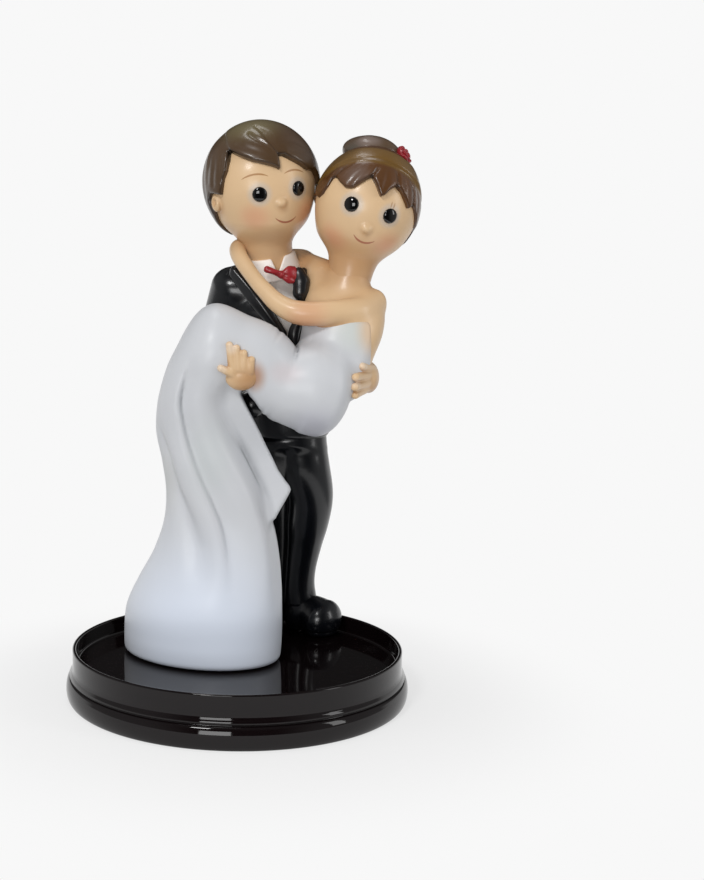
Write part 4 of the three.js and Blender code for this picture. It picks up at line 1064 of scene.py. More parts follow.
def plinth_profile():
    under = TRAY_FLOOR - FLOOR_THICKNESS
    inner = FOOT_BULGE - FOOT_TUCK - FOOT_WALL
    groove_foot = COVE_FOOT - GROOVE_HEIGHT
    ledge = RIM_RADIUS + COVE_FLARE - GROOVE_DEPTH
    lower = rounded_profile([
        (0.0, under, 0.0), (inner - UNDERSIDE_CHAMFER[0], under, 0.5),
        (inner, under - UNDERSIDE_CHAMFER[1], 0.5), (inner, 0.0, 0.3), (FOOT_BULGE - FOOT_TUCK, 0.0, 0.0),
    ])
    bulge = []
    for degrees in range(-86, 81, 8):
        a = math.radians(degrees)
        out = FOOT_BULGE - FOOT_TUCK + FOOT_TUCK * math.cos(a)
        bulge.append((out, groove_foot / 2 * (1.0 + math.sin(a))))
    groove = [
        (ledge + 0.35, groove_foot), (ledge + 0.08, groove_foot + 0.02), (ledge, groove_foot + 0.12),
        (ledge, COVE_FOOT - 0.2), (ledge + 0.12, COVE_FOOT - 0.1),
        (ledge + GROOVE_DEPTH - 0.15, COVE_FOOT - 0.02), (ledge + GROOVE_DEPTH, COVE_FOOT + 0.12),
    ]
    cove = []
    for degrees in range(218, 179, -4):
        a = math.radians(degrees)
        out = RIM_RADIUS + COVE_FLARE + COVE_FLARE * math.cos(a)
        cove.append((out, COVE_TOP + (COVE_TOP - COVE_FOOT) * math.sin(a)))
    wall = RIM_RADIUS - RIM_WALL
    upper = rounded_profile([
        (RIM_RADIUS, COVE_TOP + 0.5, 0.0), (RIM_RADIUS, RIM_HEIGHT, RIM_ROUNDING),
        (wall, RIM_HEIGHT, RIM_ROUNDING), (wall, TRAY_FLOOR, INNER_FILLET), (0.0, TRAY_FLOOR, 0.0),
    ])
    return lower + bulge + groove + cove + upper


def boss_profile():
    top = TRAY_FLOOR - FLOOR_THICKNESS + 0.3
    foot = TRAY_FLOOR - FLOOR_THICKNESS - BOSS_HEIGHT
    seat = foot + SCREW_HEAD_HEIGHT
    bore = SCREW_HEAD + 0.25
    return rounded_profile([
        (0.0, seat, 0.0), (bore, seat, 0.1), (bore, foot, 0.25), (BOSS_RADIUS, foot, 0.4),
        (BOSS_RADIUS, top, 0.0), (0.0, top, 0.0),
    ], steps=3, guard=0.05)


def geometry_tree(name, inputs):
    tree = bpy.data.node_groups.new(name, "GeometryNodeTree")
    tree.interface.new_socket("Geometry", in_out="INPUT", socket_type="NodeSocketGeometry")
    for label, kind, default in inputs:
        socket = tree.interface.new_socket(label, in_out="INPUT", socket_type=kind)
        if default is not None:
            socket.default_value = default
    tree.interface.new_socket("Geometry", in_out="OUTPUT", socket_type="NodeSocketGeometry")
    return tree, tree.nodes.new("NodeGroupInput").outputs, tree.nodes.new("NodeGroupOutput").inputs


def grown(name, base, tree, values):
    """Runs a node tree on a base mesh and keeps the result as a plain mesh."""
    carrier = bpy.data.objects.new(name, base)
    bpy.context.scene.collection.objects.link(carrier)
    modifier = carrier.modifiers.new("form", "NODES")
    modifier.node_group = tree
    for item in tree.interface.items_tree:
        if item.item_type == "SOCKET" and item.in_out == "INPUT" and item.name in values:
            modifier[item.identifier] = values[item.name]
    bpy.context.view_layer.update()
    evaluated = carrier.evaluated_get(bpy.context.evaluated_depsgraph_get())
    result = bpy.data.meshes.new_from_object(evaluated)
    carrier.modifiers.remove(modifier)
    bpy.data.objects.remove(carrier)
    result.name = name
    return result


def points_mesh(name, places):
    mesh = bpy.data.meshes.new(name)
    mesh.from_pydata([world_vector(*place) for place in places], [], [])
    return mesh


def finish_tree(tree, points, form, material, result):
    """Sets a form on every point, makes it real and gives it its material."""
    spread = add_node(tree, "GeometryNodeInstanceOnPoints", {"Points": points, "Instance": form})
    solid = add_node(tree, "GeometryNodeRealizeInstances", {"Geometry": spread.outputs[0]})
    dressed = add_node(tree, "GeometryNodeSetMaterial", {"Geometry": solid.outputs[0], "Material": material})
    tree.links.new(dressed.outputs[0], result)
    return tree


def ball(tree, radius):
    """A round base form of the rose."""
    node = add_node(tree, "GeometryNodeMeshUVSphere", {
        "Segments": PETAL_SEGMENTS, "Rings": PETAL_RINGS, "Radius": radius,
    })
    return node.outputs["Mesh"]


def screw_tree():
    """A pan head with a cross recess, a shank and a coiled thread, on every point."""
    tree, inputs, outputs = geometry_tree("stock_screws", [
        ("Head Radius", "NodeSocketFloat", 0.0025), ("Head Height", "NodeSocketFloat", 0.0014),
        ("Shank Radius", "NodeSocketFloat", 0.0013), ("Shank Length", "NodeSocketFloat", 0.01),
        ("Thread Pitch", "NodeSocketFloat", 0.0012), ("Metal", "NodeSocketMaterial", None),
    ])
    head = add_node(tree, "GeometryNodeMeshCylinder", {
        "Vertices": HEAD_SIDES, "Radius": inputs["Head Radius"], "Depth": inputs["Head Height"],
    })
    raised = calc(tree, "MULTIPLY", inputs["Head Height"], 0.5)
    head = placed_form(tree, head.outputs["Mesh"], upward(tree, raised))
    for turn, deep in RECESS_BARS:
        bar = add_node(tree, "GeometryNodeMeshCube", {"Size": (RECESS_LENGTH, RECESS_WIDTH, deep)})
        cut = add_node(tree, "GeometryNodeMeshBoolean", {"Mesh 1": head}, operation="DIFFERENCE")
        tree.links.new(placed_form(tree, bar.outputs["Mesh"], turn=(0, 0, turn)), cut.inputs["Mesh 2"])
        head = cut.outputs["Mesh"]
    shank_middle = calc(tree, "MULTIPLY_ADD", inputs["Shank Length"], 0.5, inputs["Head Height"])
    shank = add_node(tree, "GeometryNodeMeshCylinder", {
        "Vertices": SHANK_SIDES, "Radius": inputs["Shank Radius"], "Depth": inputs["Shank Length"],
    })
    shank = placed_form(tree, shank.outputs["Mesh"], upward(tree, shank_middle))
    turns = calc(tree, "DIVIDE", inputs["Shank Length"], inputs["Thread Pitch"])
    rise = calc(tree, "MULTIPLY", inputs["Shank Length"], 0.92)
    coil = add_node(tree, "GeometryNodeCurveSpiral", {
        "Resolution": THREAD_STEPS, "Rotations": turns, "Start Radius": inputs["Shank Radius"],
        "End Radius": inputs["Shank Radius"], "Height": rise,
    })
    crest = add_node(tree, "GeometryNodeCurvePrimitiveCircle", {
        "Resolution": THREAD_SIDES, "Radius": THREAD_RADIUS,
    })
    thread = add_node(tree, "GeometryNodeCurveToMesh", {
        "Curve": coil.outputs[0], "Profile Curve": crest.outputs[0], "Fill Caps": True,
    })
    thread = placed_form(tree, thread.outputs[0], upward(tree, inputs["Head Height"]))
    screw = add_node(tree, "GeometryNodeJoinGeometry")
    for part in (head, shank, thread):
        tree.links.new(part, screw.inputs[0])
    return finish_tree(tree, inputs["Geometry"], screw.outputs[0], inputs["Metal"], outputs["Geometry"])


def rose_tree():
    """Rings of overlapping petals round a heart, on every point."""
    tree, inputs, outputs = geometry_tree("rose_petals", [
        ("Petals", "NodeSocketInt", 5), ("Ring Radius", "NodeSocketFloat", 0.0017),
        ("Petal Width", "NodeSocketFloat", 0.0026), ("Petal Tilt", "NodeSocketFloat", 0.6),
        ("Wander", "NodeSocketFloat", 0.12), ("Enamel", "NodeSocketMaterial", None),
    ])
    whole = add_node(tree, "GeometryNodeJoinGeometry")
    for ring, (share, level, turn) in enumerate(PETAL_WHORLS):
        radius = calc(tree, "MULTIPLY", inputs["Ring Radius"], share)
        circle = add_node(tree, "GeometryNodeMeshCircle", {"Vertices": inputs["Petals"], "Radius": radius})
        petal = ball(tree, calc(tree, "MULTIPLY", inputs["Petal Width"], 0.62 * (0.6 + 0.4 * share)))
        cupped = placed_form(tree, petal, scale=PETAL_SHAPE)
        place = add_node(tree, "GeometryNodeInputPosition").outputs[0]
        parts = add_node(tree, "ShaderNodeSeparateXYZ", {0: place}).outputs
        bearing = calc(tree, "ARCTAN2", parts[1], parts[0])
        facing = add_node(tree, "ShaderNodeCombineXYZ", {
            1: inputs["Petal Tilt"], 2: calc(tree, "ADD", bearing, turn),
        })
        size = add_node(tree, "FunctionNodeRandomValue", {
            2: calc(tree, "SUBTRACT", 1.0, inputs["Wander"]), 3: calc(tree, "ADD", 1.0, inputs["Wander"]),
            "Seed": WANDER_SEED + ring,
        }, data_type="FLOAT")
        spread = add_node(tree, "GeometryNodeInstanceOnPoints", {
            "Points": circle.outputs["Mesh"], "Instance": cupped, "Rotation": facing.outputs[0],
            "Scale": size.outputs[1],
        })
        lifted = placed_form(tree, spread.outputs[0], (0, 0, level), (0, 0, turn))
        tree.links.new(lifted, whole.inputs[0])
    tree.links.new(ball(tree, calc(tree, "MULTIPLY", inputs["Ring Radius"], 0.75)), whole.inputs[0])
    facing_out = placed_form(tree, whole.outputs[0], turn=ROSE_FACING)
    return finish_tree(tree, inputs["Geometry"], facing_out, inputs["Enamel"], outputs["Geometry"])


# Effects that several paints share


def shade_group(name, inputs, outputs):
    tree = bpy.data.node_groups.new(name, "ShaderNodeTree")
    for label, kind, default in inputs:
        tree.interface.new_socket(label, in_out="INPUT", socket_type=kind).default_value = default
    for label, kind in outputs:
        tree.interface.new_socket(label, in_out="OUTPUT", socket_type=kind)
    return tree, tree.nodes.new("NodeGroupInput").outputs, tree.nodes.new("NodeGroupOutput").inputs


VALUE, VECTOR, COLOUR = "NodeSocketFloat", "NodeSocketVector", "NodeSocketColor"


def airbrush_spot_group():
    """Soft round or oval spot, as from an airbrush."""
    tree, inputs, outputs = shade_group("airbrush_spot", [
        ("Place", VECTOR, (0, 0, 0)), ("Centre", VECTOR, (0, 0, 0)), ("Radius", VALUE, 5.0),
        ("Softness", VALUE, 0.9), ("Stretch", VECTOR, (1, 1, 1)),
    ], [("Mask", VALUE)])
    offset = vector_calc(tree, "SUBTRACT", inputs["Place"], inputs["Centre"])
    far = vector_calc(tree, "LENGTH", vector_calc(tree, "MULTIPLY", offset, inputs["Stretch"]))
    hard = calc(tree, "MULTIPLY", inputs["Radius"], calc(tree, "SUBTRACT", 1.0, inputs["Softness"]))
    connect(tree, outputs["Mask"], ramp(tree, far, hard, inputs["Radius"], 1.0, 0.0))
    return tree


def banded_zone_group():
    """What lies between two parallel planes, with soft edges."""
    tree, inputs, outputs = shade_group("banded_zone", [
        ("Place", VECTOR, (0, 0, 0)), ("Up", VECTOR, (0, 0, 1)), ("Low", VALUE, 0.0), ("High", VALUE, 1.0),
        ("Softness", VALUE, 0.5),
    ], [("Mask", VALUE)])
    level = vector_calc(tree, "DOT_PRODUCT", inputs["Place"], inputs["Up"])
    foot = calc(tree, "SUBTRACT", inputs["Low"], inputs["Softness"])
    over_low = ramp(tree, level, foot, inputs["Low"], 0.0, 1.0)
    top = calc(tree, "SUBTRACT", inputs["High"], inputs["Softness"])
    under_high = ramp(tree, level, top, inputs["High"], 1.0, 0.0)
    connect(tree, outputs["Mask"], calc(tree, "MULTIPLY", over_low, under_high))
    return tree


def painted_arc_group():
    """Thin curved brush stroke on the front of a head, in the head's own frame."""
    tree, inputs, outputs = shade_group("painted_arc", [
        ("Place", VECTOR, (0, 0, 0)), ("Centre", VECTOR, (0, 0, 0)), ("Radius", VALUE, 5.0),
        ("Half Width", VALUE, 0.3), ("Reach", VALUE, 0.6), ("Way Up", VALUE, 1.0),
    ], [("Mask", VALUE)])
    offset = vector_calc(tree, "SUBTRACT", inputs["Place"], inputs["Centre"])
    flat = vector_calc(tree, "MULTIPLY", offset, (1.0, 0.0, 1.0))
    parts = add_node(tree, "ShaderNodeSeparateXYZ", {0: flat}).outputs
    depth = add_node(tree, "ShaderNodeSeparateXYZ", {0: inputs["Place"]}).outputs[1]
    off = calc(tree, "ABSOLUTE", calc(tree, "SUBTRACT", vector_calc(tree, "LENGTH", flat), inputs["Radius"]))
    rise = calc(tree, "MULTIPLY", parts[2], inputs["Way Up"])
    angle = calc(tree, "ABSOLUTE", calc(tree, "ARCTAN2", parts[0], rise))
    share = calc(tree, "DIVIDE", angle, inputs["Reach"])
    thin = calc(tree, "MULTIPLY", inputs["Half Width"], ramp(tree, share, 0.3, 1.15, 1.0, 0.35))
    stroke = ramp(tree, calc(tree, "DIVIDE", off, thin), 0.55, 1.35, 1.0, 0.0)
    ended = ramp(tree, share, 0.9, 1.12, 1.0, 0.0)
    front = ramp(tree, depth, -2.0, 0.0, 1.0, 0.0)
    connect(tree, outputs["Mask"], calc(tree, "MULTIPLY", calc(tree, "MULTIPLY", stroke, ended), front))
    return tree


def sprayed_coat_group():
    """Base coat with shade gathered in the hollows, slight clouding and a fine uneven film."""
    tree, inputs, outputs = shade_group("sprayed_coat", [
        ("Place", VECTOR, (0, 0, 0)), ("Colour", COLOUR, (1, 1, 1, 1)),
        ("Hollow Colour", COLOUR, (1, 1, 1, 1)), ("Hollow", VALUE, 0.0),
        ("Hollow Share", VALUE, 0.8), ("Clouding", VALUE, 0.1),
        ("Roughness", VALUE, 0.4), ("Unevenness", VALUE, 0.1), ("Film", VALUE, 0.02),
    ], [("Colour", COLOUR), ("Roughness", VALUE), ("Height", VALUE)])
    cloud = add_node(tree, "ShaderNodeTexNoise", {"Vector": inputs["Place"], "Scale": 0.12, "Detail": 3.0})
    fine = add_node(tree, "ShaderNodeTexNoise", {"Vector": inputs["Place"], "Scale": 1.1, "Detail": 4.0})
    # Painted shade: the colour goes towards the shade colour as far as the place lies in the form's hollows
    share = calc(tree, "MULTIPLY", inputs["Hollow"], inputs["Hollow Share"], clamp=True)
    coated = blend(tree, share, inputs["Colour"], inputs["Hollow Colour"])
    swing = calc(tree, "MULTIPLY_ADD", cloud.outputs[0], 2.0, -1.0)
    gain = calc(tree, "MULTIPLY_ADD", swing, inputs["Clouding"], 1.0)
    clouded = add_node(tree, "ShaderNodeVectorMath", {0: coated, "Scale": gain}, operation="SCALE")
    connect(tree, outputs["Colour"], clouded.outputs[0])
    grain = calc(tree, "SUBTRACT", fine.outputs[0], 0.5)
    uneven = calc(tree, "MULTIPLY_ADD", grain, inputs["Unevenness"], inputs["Roughness"])
    connect(tree, outputs["Roughness"], calc(tree, "MAXIMUM", uneven, 0.03))
    connect(tree, outputs["Height"], calc(tree, "MULTIPLY", fine.outputs[0], inputs["Film"]))
    return tree


def shared(name, build):
    """One copy of each node group, made on first use."""
    return bpy.data.node_groups.get(name) or build()


def tint(red, green, blue):
    """Display colour, each channel 0 to 255, as scene-linear light."""
    linear = []
    for part in (red, green, blue):
        share = part / 255
        linear.append(share / 12.92 if share <= 0.04045 else ((share + 0.055) / 1.055) ** 2.4)
    return (*linear, 1.0)


class Paint:
    """A material whose coats are laid one over another."""

    FILM_STRENGTH = 0.3

    def __init__(self, name, metallic=0.0, coat=0.0, coat_roughness=0.05, ior=1.5):
        self.material = bpy.data.materials.new(name)
        self.material.use_nodes = True
        self.tree = self.material.node_tree
        self.shader = self.tree.nodes["Principled BSDF"]
        self.shader.inputs["Metallic"].default_value = metallic
        self.shader.inputs["Coat Weight"].default_value = coat
        self.shader.inputs["Coat Roughness"].default_value = coat_roughness
        self.shader.inputs["IOR"].default_value = ior
        self.world = add_node(self.tree, "ShaderNodeTexCoord").outputs["Object"]
        self.place = self.framed((0, 0, 0), Euler())
        self.colour = None
        self.roughness = None

    def framed(self, middle, turn):
        """Millimetres from a place of the figurine, in a frame that may be turned."""
        return add_node(self.tree, "ShaderNodeMapping", {
            "Vector": self.world, "Location": tuple(to_world(middle)), "Rotation": turn,
            "Scale": (MM, MM, MM),
        }, vector_type="TEXTURE").outputs[0]

    def head_place(self, head):
        return self.framed(head.at, head.turned.to_euler())

    def use(self, group, **inputs):
        node = self.tree.nodes.new("ShaderNodeGroup")
        node.node_tree = group
        for key, value in inputs.items():
            connect(self.tree, node.inputs[key.replace("_", " ").title()], value)
        return node.outputs

    def base(
        self, colour, hollow_colour, hollow_share=0.8, clouding=0.05, roughness=0.4, unevenness=0.1,
        film=0.02,
    ):
        # Depth in the form's hollows, by which the coat darkens as painted shade
        hollow = add_node(self.tree, "ShaderNodeAttribute", attribute_name="hollow").outputs["Fac"]
        coat = self.use(
            shared("sprayed_coat", sprayed_coat_group), place=self.place, colour=tuple(colour),
            hollow_colour=hollow_colour, hollow=hollow, hollow_share=hollow_share, clouding=clouding,
            roughness=roughness, unevenness=unevenness, film=film,
        )
        self.colour = coat["Colour"]
        self.roughness = coat["Roughness"]
        bump = add_node(self.tree, "ShaderNodeBump", {
            "Height": coat["Height"], "Distance": MM, "Strength": self.FILM_STRENGTH,
        })
        connect(self.tree, self.shader.inputs["Normal"], bump.outputs[0])
        return self

    def over(self, mask, colour, strength=1.0):
        if strength != 1.0:
            mask = calc(self.tree, "MULTIPLY", mask, strength)
        self.colour = blend(self.tree, mask, self.colour, colour)

    def spot(self, place, centre, radius, colour, strength=1.0, softness=0.9, stretch=(1, 1, 1)):
        mask = self.use(
            shared("airbrush_spot", airbrush_spot_group), place=place, centre=tuple(centre), radius=radius,
            softness=softness, stretch=stretch,
        )["Mask"]
        self.over(mask, colour, strength)

    def stroke(self, place, ends, half_width, colour, strength=1.0):
        centre, radius, reach, way = arc_through(*ends)
        mask = self.use(
            shared("painted_arc", painted_arc_group), place=place, centre=centre, radius=radius,
            half_width=half_width, reach=reach, way_up=way,
        )["Mask"]
        self.over(mask, colour, strength)

    def done(self):
        connect(self.tree, self.shader.inputs["Base Color"], self.colour)
        connect(self.tree, self.shader.inputs["Roughness"], self.roughness)
        return self.material


def arc_through(first, middle, last):
    """Circle through three places of a head's face, seen from the front."""
    (ax, _, az), (bx, _, bz), (cx, _, cz) = (map(float, place) for place in (first, middle, last))
    d = 2 * (ax * (bz - cz) + bx * (cz - az) + cx * (az - bz))
    a2, b2, c2 = ax * ax + az * az, bx * bx + bz * bz, cx * cx + cz * cz
    x = (a2 * (bz - cz) + b2 * (cz - az) + c2 * (az - bz)) / d
    z = (a2 * (cx - bx) + b2 * (ax - cx) + c2 * (bx - ax)) / d
    radius = math.hypot(bx - x, bz - z)
    way = 1.0 if bz > z else -1.0
    reach = max(abs(math.atan2(px - x, way * (pz - z))) for px, pz in ((ax, az), (cx, cz)))
    return (x, 0.0, z), radius, reach, way


# Paint

# Each _SHADE colour is painted shade: a coat darkens towards it in the form's hollows, and the skin also on
# the necks, under the arms and under the noses
SKIN = tint(222, 188, 146)
SKIN_SHADE = tint(178, 128, 80)
BLUSH = tint(216, 132, 100)
MOUTH = tint(172, 106, 78)
BROW = tint(168, 118, 66)
EYE_RING, EYE_RIM = tint(206, 188, 168), tint(60, 42, 34)
FINGERTIP_HIGHLIGHT = tint(240, 222, 202)
GROOM_HAIR, GROOM_HAIR_SHADE = tint(77, 55, 32), tint(24, 16, 8)
BRIDE_HAIR, BRIDE_HAIR_SHADE = tint(88, 54, 22), tint(36, 20, 8)
BAND = tint(114, 84, 34)
RED, RED_SHADE = tint(156, 34, 44), tint(92, 14, 24)
SUIT, SUIT_SHADE = tint(7, 9, 14), tint(3, 3, 5)
PEARL, PEARL_SHADE = tint(206, 208, 212), tint(134, 137, 142)
LACQUER, LACQUER_SHADE = tint(14, 8, 9), tint(9, 5, 5)
STROKE_WIDTH = 0.26
EVEN = (1.0, 1.0, 1.0)


def skin_paint(name):
    paint = Paint(name, coat=0.25, coat_roughness=0.18)
    paint.base(
        settings().skin_colour, SKIN_SHADE, hollow_share=0.75, clouding=0.04, roughness=0.42, unevenness=0.12,
    )
    return paint


def body_skin():
    paint = skin_paint("skin_painted_shade_and_highlights")
    # Painted shade on the necks, under the arms and round the hands
    for centre, radius, share in (
        (BRIDE.neck[1], 17.0, 0.8), (GROOM.neck[1], 17.0, 0.35), ((33.0, -1.0, 95.0), 6.0, 0.4),
        ((3.0, -17.0, 80.0), 8.0, 0.75), ((17.0, -5.0, 95.5), 9.0, 0.8), ((36.0, 0.0, 77.0), 8.0, 0.6),
        ((26.0, -5.0, 95.0), 7.0, 0.7), ((18.0, 11.0, 113.5), 5.5, 0.6),
    ):
        paint.spot(paint.place, centre, radius, SKIN_SHADE, share)
    paint.spot(paint.place, (18.0, -9.0, 97.5), 9.0, BLUSH, 0.3)
    # Painted highlights on the fingertips
    for centre in ((-2.3, -19.5, 89.5), (-5.0, -19.0, 84.0), (31.0, -12.0, 80.0), (33.0, -9.0, 84.5)):
        paint.spot(paint.place, centre, 2.6, FINGERTIP_HIGHLIGHT, 0.6)
    return paint.done()


def face_skin(name, head, face, mouth, brows, neck_shade):
    paint = skin_paint(name)
    local = paint.head_place(head)
    paint.spot(paint.place, head.neck[1], 17.0, SKIN_SHADE, neck_shade)
    for cheek in face["cheeks"]:
        paint.spot(local, head.face_point(*cheek), 6.0, BLUSH, 0.4, softness=1.0, stretch=(0.85, 1.0, 1.0))
    paint.spot(local, head.face_point(*face["nose"]) + (0.5, 0.0, -1.7), 2.4, SKIN_SHADE, 0.25)
    for eye in face["eyes"]:
        paint.spot(local, head.face_point(*eye), 4.2, EYE_RING, 0.9, softness=0.5)
        paint.spot(local, head.face_point(*eye), 2.2, EYE_RIM, 0.8, softness=0.2)
    for line, colour, strength in ((mouth, MOUTH, 1.0), *((brow, BROW, 0.9) for brow in brows)):
        paint.stroke(local, [head.face_point(*spot) for spot in line], STROKE_WIDTH, colour, strength)
    return paint


def groom_skin():
    return face_skin("groom_skin", GROOM, GROOM_FACE, ((-9.4, -43.9), (7.8, -50.7), (25.5, -43.5)), (
        ((-43.0, 5.2), (-35.0, 7.9), (-15.8, 6.2)), ((12.4, 8.8), (23.0, 9.3), (33.1, 6.3)),
    ), 0.35).done()


def bride_skin():
    paint = face_skin("bride_skin", BRIDE, BRIDE_FACE, ((-14.8, -40.1), (3.6, -46.3), (16.5, -40.7)), (), 0.8)
    local = paint.head_place(BRIDE)
    for lash in ((17.8, 6.0), (21.5, 5.8)):
        paint.spot(local, BRIDE.face_point(*lash), 1.1, BROW, 0.6, softness=0.5, stretch=(4.0, 1.0, 1.0))
    return paint.done()


def hair_paint(name, base, shade, spots):
    """Hair gloss over a base coat, with spots given as place, radius, colour, share and stretch."""
    paint = Paint(name, coat=0.35, coat_roughness=0.14)
    paint.base(base, shade, hollow_share=1.0, clouding=0.16, roughness=0.34, unevenness=0.2, film=0.04)
    for centre, radius, colour, share, stretch in spots:
        paint.spot(paint.place, centre, radius, colour, share, stretch=stretch)
    return paint


def groom_hair_paint():
    olive_and_sheen, brown, slate_reflection = tint(112, 102, 68), tint(84, 64, 52), tint(66, 70, 76)
    # The olive crown spot is partly the paint's own lighter tone and partly a painted sheen round its
    # highlight; the slate spot low on the left side is a painted reflection
    return hair_paint("groom_hair_gloss", settings().groom_hair_colour, GROOM_HAIR_SHADE, (
        ((1.0, 4.0, 151.0), 14.0, olive_and_sheen, 0.8, (0.9, 1.0, 1.4)), ((16.0, 2.0, 150.0), 9.0, brown, 0.5, EVEN),
        ((-9.0, 12.0, 128.0), 8.0, slate_reflection, 0.5, (1.0, 0.6, 1.0)),
    )).done()


def bride_hair_paint():
    paint = hair_paint("bride_hair_gloss", settings().bride_hair_colour, BRIDE_HAIR_SHADE, (
        # Painted highlight: a grey-lilac patch on the front of the fringe
        ((30.0, -9.0, 136.0), 6.5, tint(120, 104, 96), 0.5, (1.0, 1.0, 1.3)),
    ))
    local = paint.head_place(BRIDE)
    mask = paint.use(
        shared("banded_zone", banded_zone_group), place=local, up=BAND_UP, low=BAND_LOW,
        high=BAND_HIGH + 2.0, softness=1.6,
    )["Mask"]
    paint.over(mask, BAND, 0.85)
    return paint.done()


def bun_paint():
    return hair_paint("bun_gloss", tint(86, 66, 46), tint(30, 20, 14), (
        # The first spot is a painted highlight on the front of the bun's top; the second is a greyer patch on
        # its left front
        ((35.0, 8.0, 146.0), 4.5, tint(150, 134, 128), 0.55, (0.8, 1.0, 1.0)),
        ((30.0, 8.0, 143.0), 5.0, tint(74, 72, 66), 0.6, EVEN),
    )).done()


def eye_paint():
    paint = Paint("eye_paint", coat=0.1, coat_roughness=0.02)
    paint.base(tint(8, 7, 8), tint(4, 4, 4), roughness=0.08, unevenness=0.02, film=0.0, clouding=0.0)
    return paint.done()


def red_paint():
    paint = Paint("red_paint", coat=0.2, coat_roughness=0.1)
    return paint.base(settings().red_colour, RED_SHADE, hollow_share=1.0, roughness=0.34, film=0.03).done()


def shirt_paint():
    paint = Paint("shirt_white", coat=0.2, coat_roughness=0.2)
    paint.base(tint(255, 250, 244), tint(244, 226, 212), hollow_share=0.3, roughness=0.45)
    return paint.done()


def suit_paint():
    paint = Paint("suit_paint", coat=0.15, coat_roughness=0.08)
    paint.base(settings().suit_colour, SUIT_SHADE, clouding=0.1, roughness=0.26, unevenness=0.04)
    return paint.done()


def satin_paint():
    paint = Paint("satin_paint", coat=0.3, coat_roughness=0.15)
    return paint.base(tint(20, 21, 24), tint(6, 7, 9), roughness=0.3).done()


def pearl_paint():
    paint = Paint("pearl_paint", coat=0.15, coat_roughness=0.25)
    paint.base(
        settings().dress_colour, PEARL_SHADE, hollow_share=1.0, clouding=0.025, roughness=0.46, film=0.015,
    )
    for centre, radius, colour, share, stretch in (
        ((12.0, -18.0, 83.0), 6.0, tint(218, 196, 196), 0.3, (0.8, 0.6, 1.2)),
        ((31.0, -7.0, 94.0), 10.0, tint(206, 212, 204), 0.6, EVEN),
        # Painted shade under the lap
        ((20.0, -12.0, 68.0), 11.0, tint(176, 176, 190), 0.5, (1.0, 0.7, 1.0)),
        # A blue-white tint of the lower skirt, which also lightens it as painted light
        ((-10.0, -12.0, 6.0), 44.0, tint(226, 234, 248), 1.0, EVEN),
        ((3.8, -16.5, 82.0), 4.6, tint(176, 128, 92), 0.85, (1.0, 0.6, 0.75)),
        # These two spots are painted shade in the skirt's folds, at the front and on the left
        ((-8.0, -14.0, 60.0), 12.0, tint(198, 204, 204), 0.5, (1.2, 1.0, 0.7)),
        ((-21.0, -10.0, 52.0), 9.0, tint(184, 184, 176), 0.45, (1.3, 1.0, 0.6)),
        ((36.5, -7.0, 94.0), 7.5, tint(224, 190, 152), 0.9, (1.0, 0.7, 0.7)),
    ):
        paint.spot(paint.place, centre, radius, colour, share, stretch=stretch)
    return paint.done()


def plinth_paint():
    paint = Paint("plinth_paint", ior=1.38)
    paint.base(
        settings().plinth_colour, LACQUER_SHADE, hollow_share=0.3, clouding=0.15, roughness=0.05,
        unevenness=0.03, film=0.008,
    )
    return paint.done()


def steel_paint():
    paint = Paint("steel_paint", metallic=1.0)
    paint.base(tint(150, 150, 150), tint(80, 80, 80), clouding=0.08, roughness=0.32, unevenness=0.15)
    return paint.done()


# The add-on


GRID_SIZE, KEY_POWER = 0.55, 2.3


def size_choice(name, description, millimetres):
    return bpy.props.FloatProperty(
        name=name, description=description, default=millimetres * MM, unit="LENGTH", subtype="DISTANCE",
    )


def colour_choice(name, description, colour):
    return bpy.props.FloatVectorProperty(
        name=name, description=description, default=colour, size=4, min=0.0, max=1.0, subtype="COLOR",
    )


class FigurineSettings(bpy.types.PropertyGroup):
    fineness: size_choice("Grid size", "Largest cell of the grid that the castings are drawn on", GRID_SIZE)
    eye_radius: size_choice("Eye radius", "Half the width of each drop of eye enamel", EYE_RADIUS)
    rose_ring: size_choice("Rose ring", "Radius of the rose's outer ring of petals", ROSE_RING)
    skin_colour: colour_choice("Skin", "Base coat of the faces, arms and hands", SKIN)
    groom_hair_colour: colour_choice("Groom's hair", "Base coat of the groom's hair", GROOM_HAIR)
    bride_hair_colour: colour_choice("Bride's hair", "Base coat of the bride's hair", BRIDE_HAIR)
    dress_colour: colour_choice("Dress", "Base coat of the pearl dress", PEARL)
    suit_colour: colour_choice("Suit", "Base coat of the suit and shoes", SUIT)
    red_colour: colour_choice("Red", "Base coat of the rose and the bow tie", RED)
    plinth_colour: colour_choice("Plinth", "Base coat of the plinth", LACQUER)
    key_power: bpy.props.FloatProperty(
        name="Key lamp", description="Power of the large softbox above the figurine's left",
        default=KEY_POWER, unit="POWER",
    )


def settings():
    return bpy.context.scene.figurine_settings


def shared_paint(name, mix):
    """A paint that more than one operator uses, mixed on its first use."""
    return bpy.data.materials.get(name) or mix()


def cell(share):
    return settings().fineness / MM * share


class FIGURINE_OT_groom_head(bpy.types.Operator):
    """Sculpt and paint the groom's head with its neck, nose and ears"""

    bl_idname = "figurine.groom_head"
    bl_label = "Groom's head"

    def execute(self, context):
        cast("groom_head_cast", head_field(GROOM, GROOM_FACE), (-13, -7, 103), (25, 29, 152), cell(0.65),
             groom_skin(), ["groom_head"])
        return {"FINISHED"}


class FIGURINE_OT_bride_head(bpy.types.Operator):
    """Sculpt and paint the bride's head with its neck and nose"""

    bl_idname = "figurine.bride_head"
    bl_label = "Bride's head"

    def execute(self, context):
        cast("bride_head_cast", head_field(BRIDE, BRIDE_FACE), (16, -12, 99), (54, 23, 146), cell(0.65),
             bride_skin(), ["bride_head"])
        return {"FINISHED"}


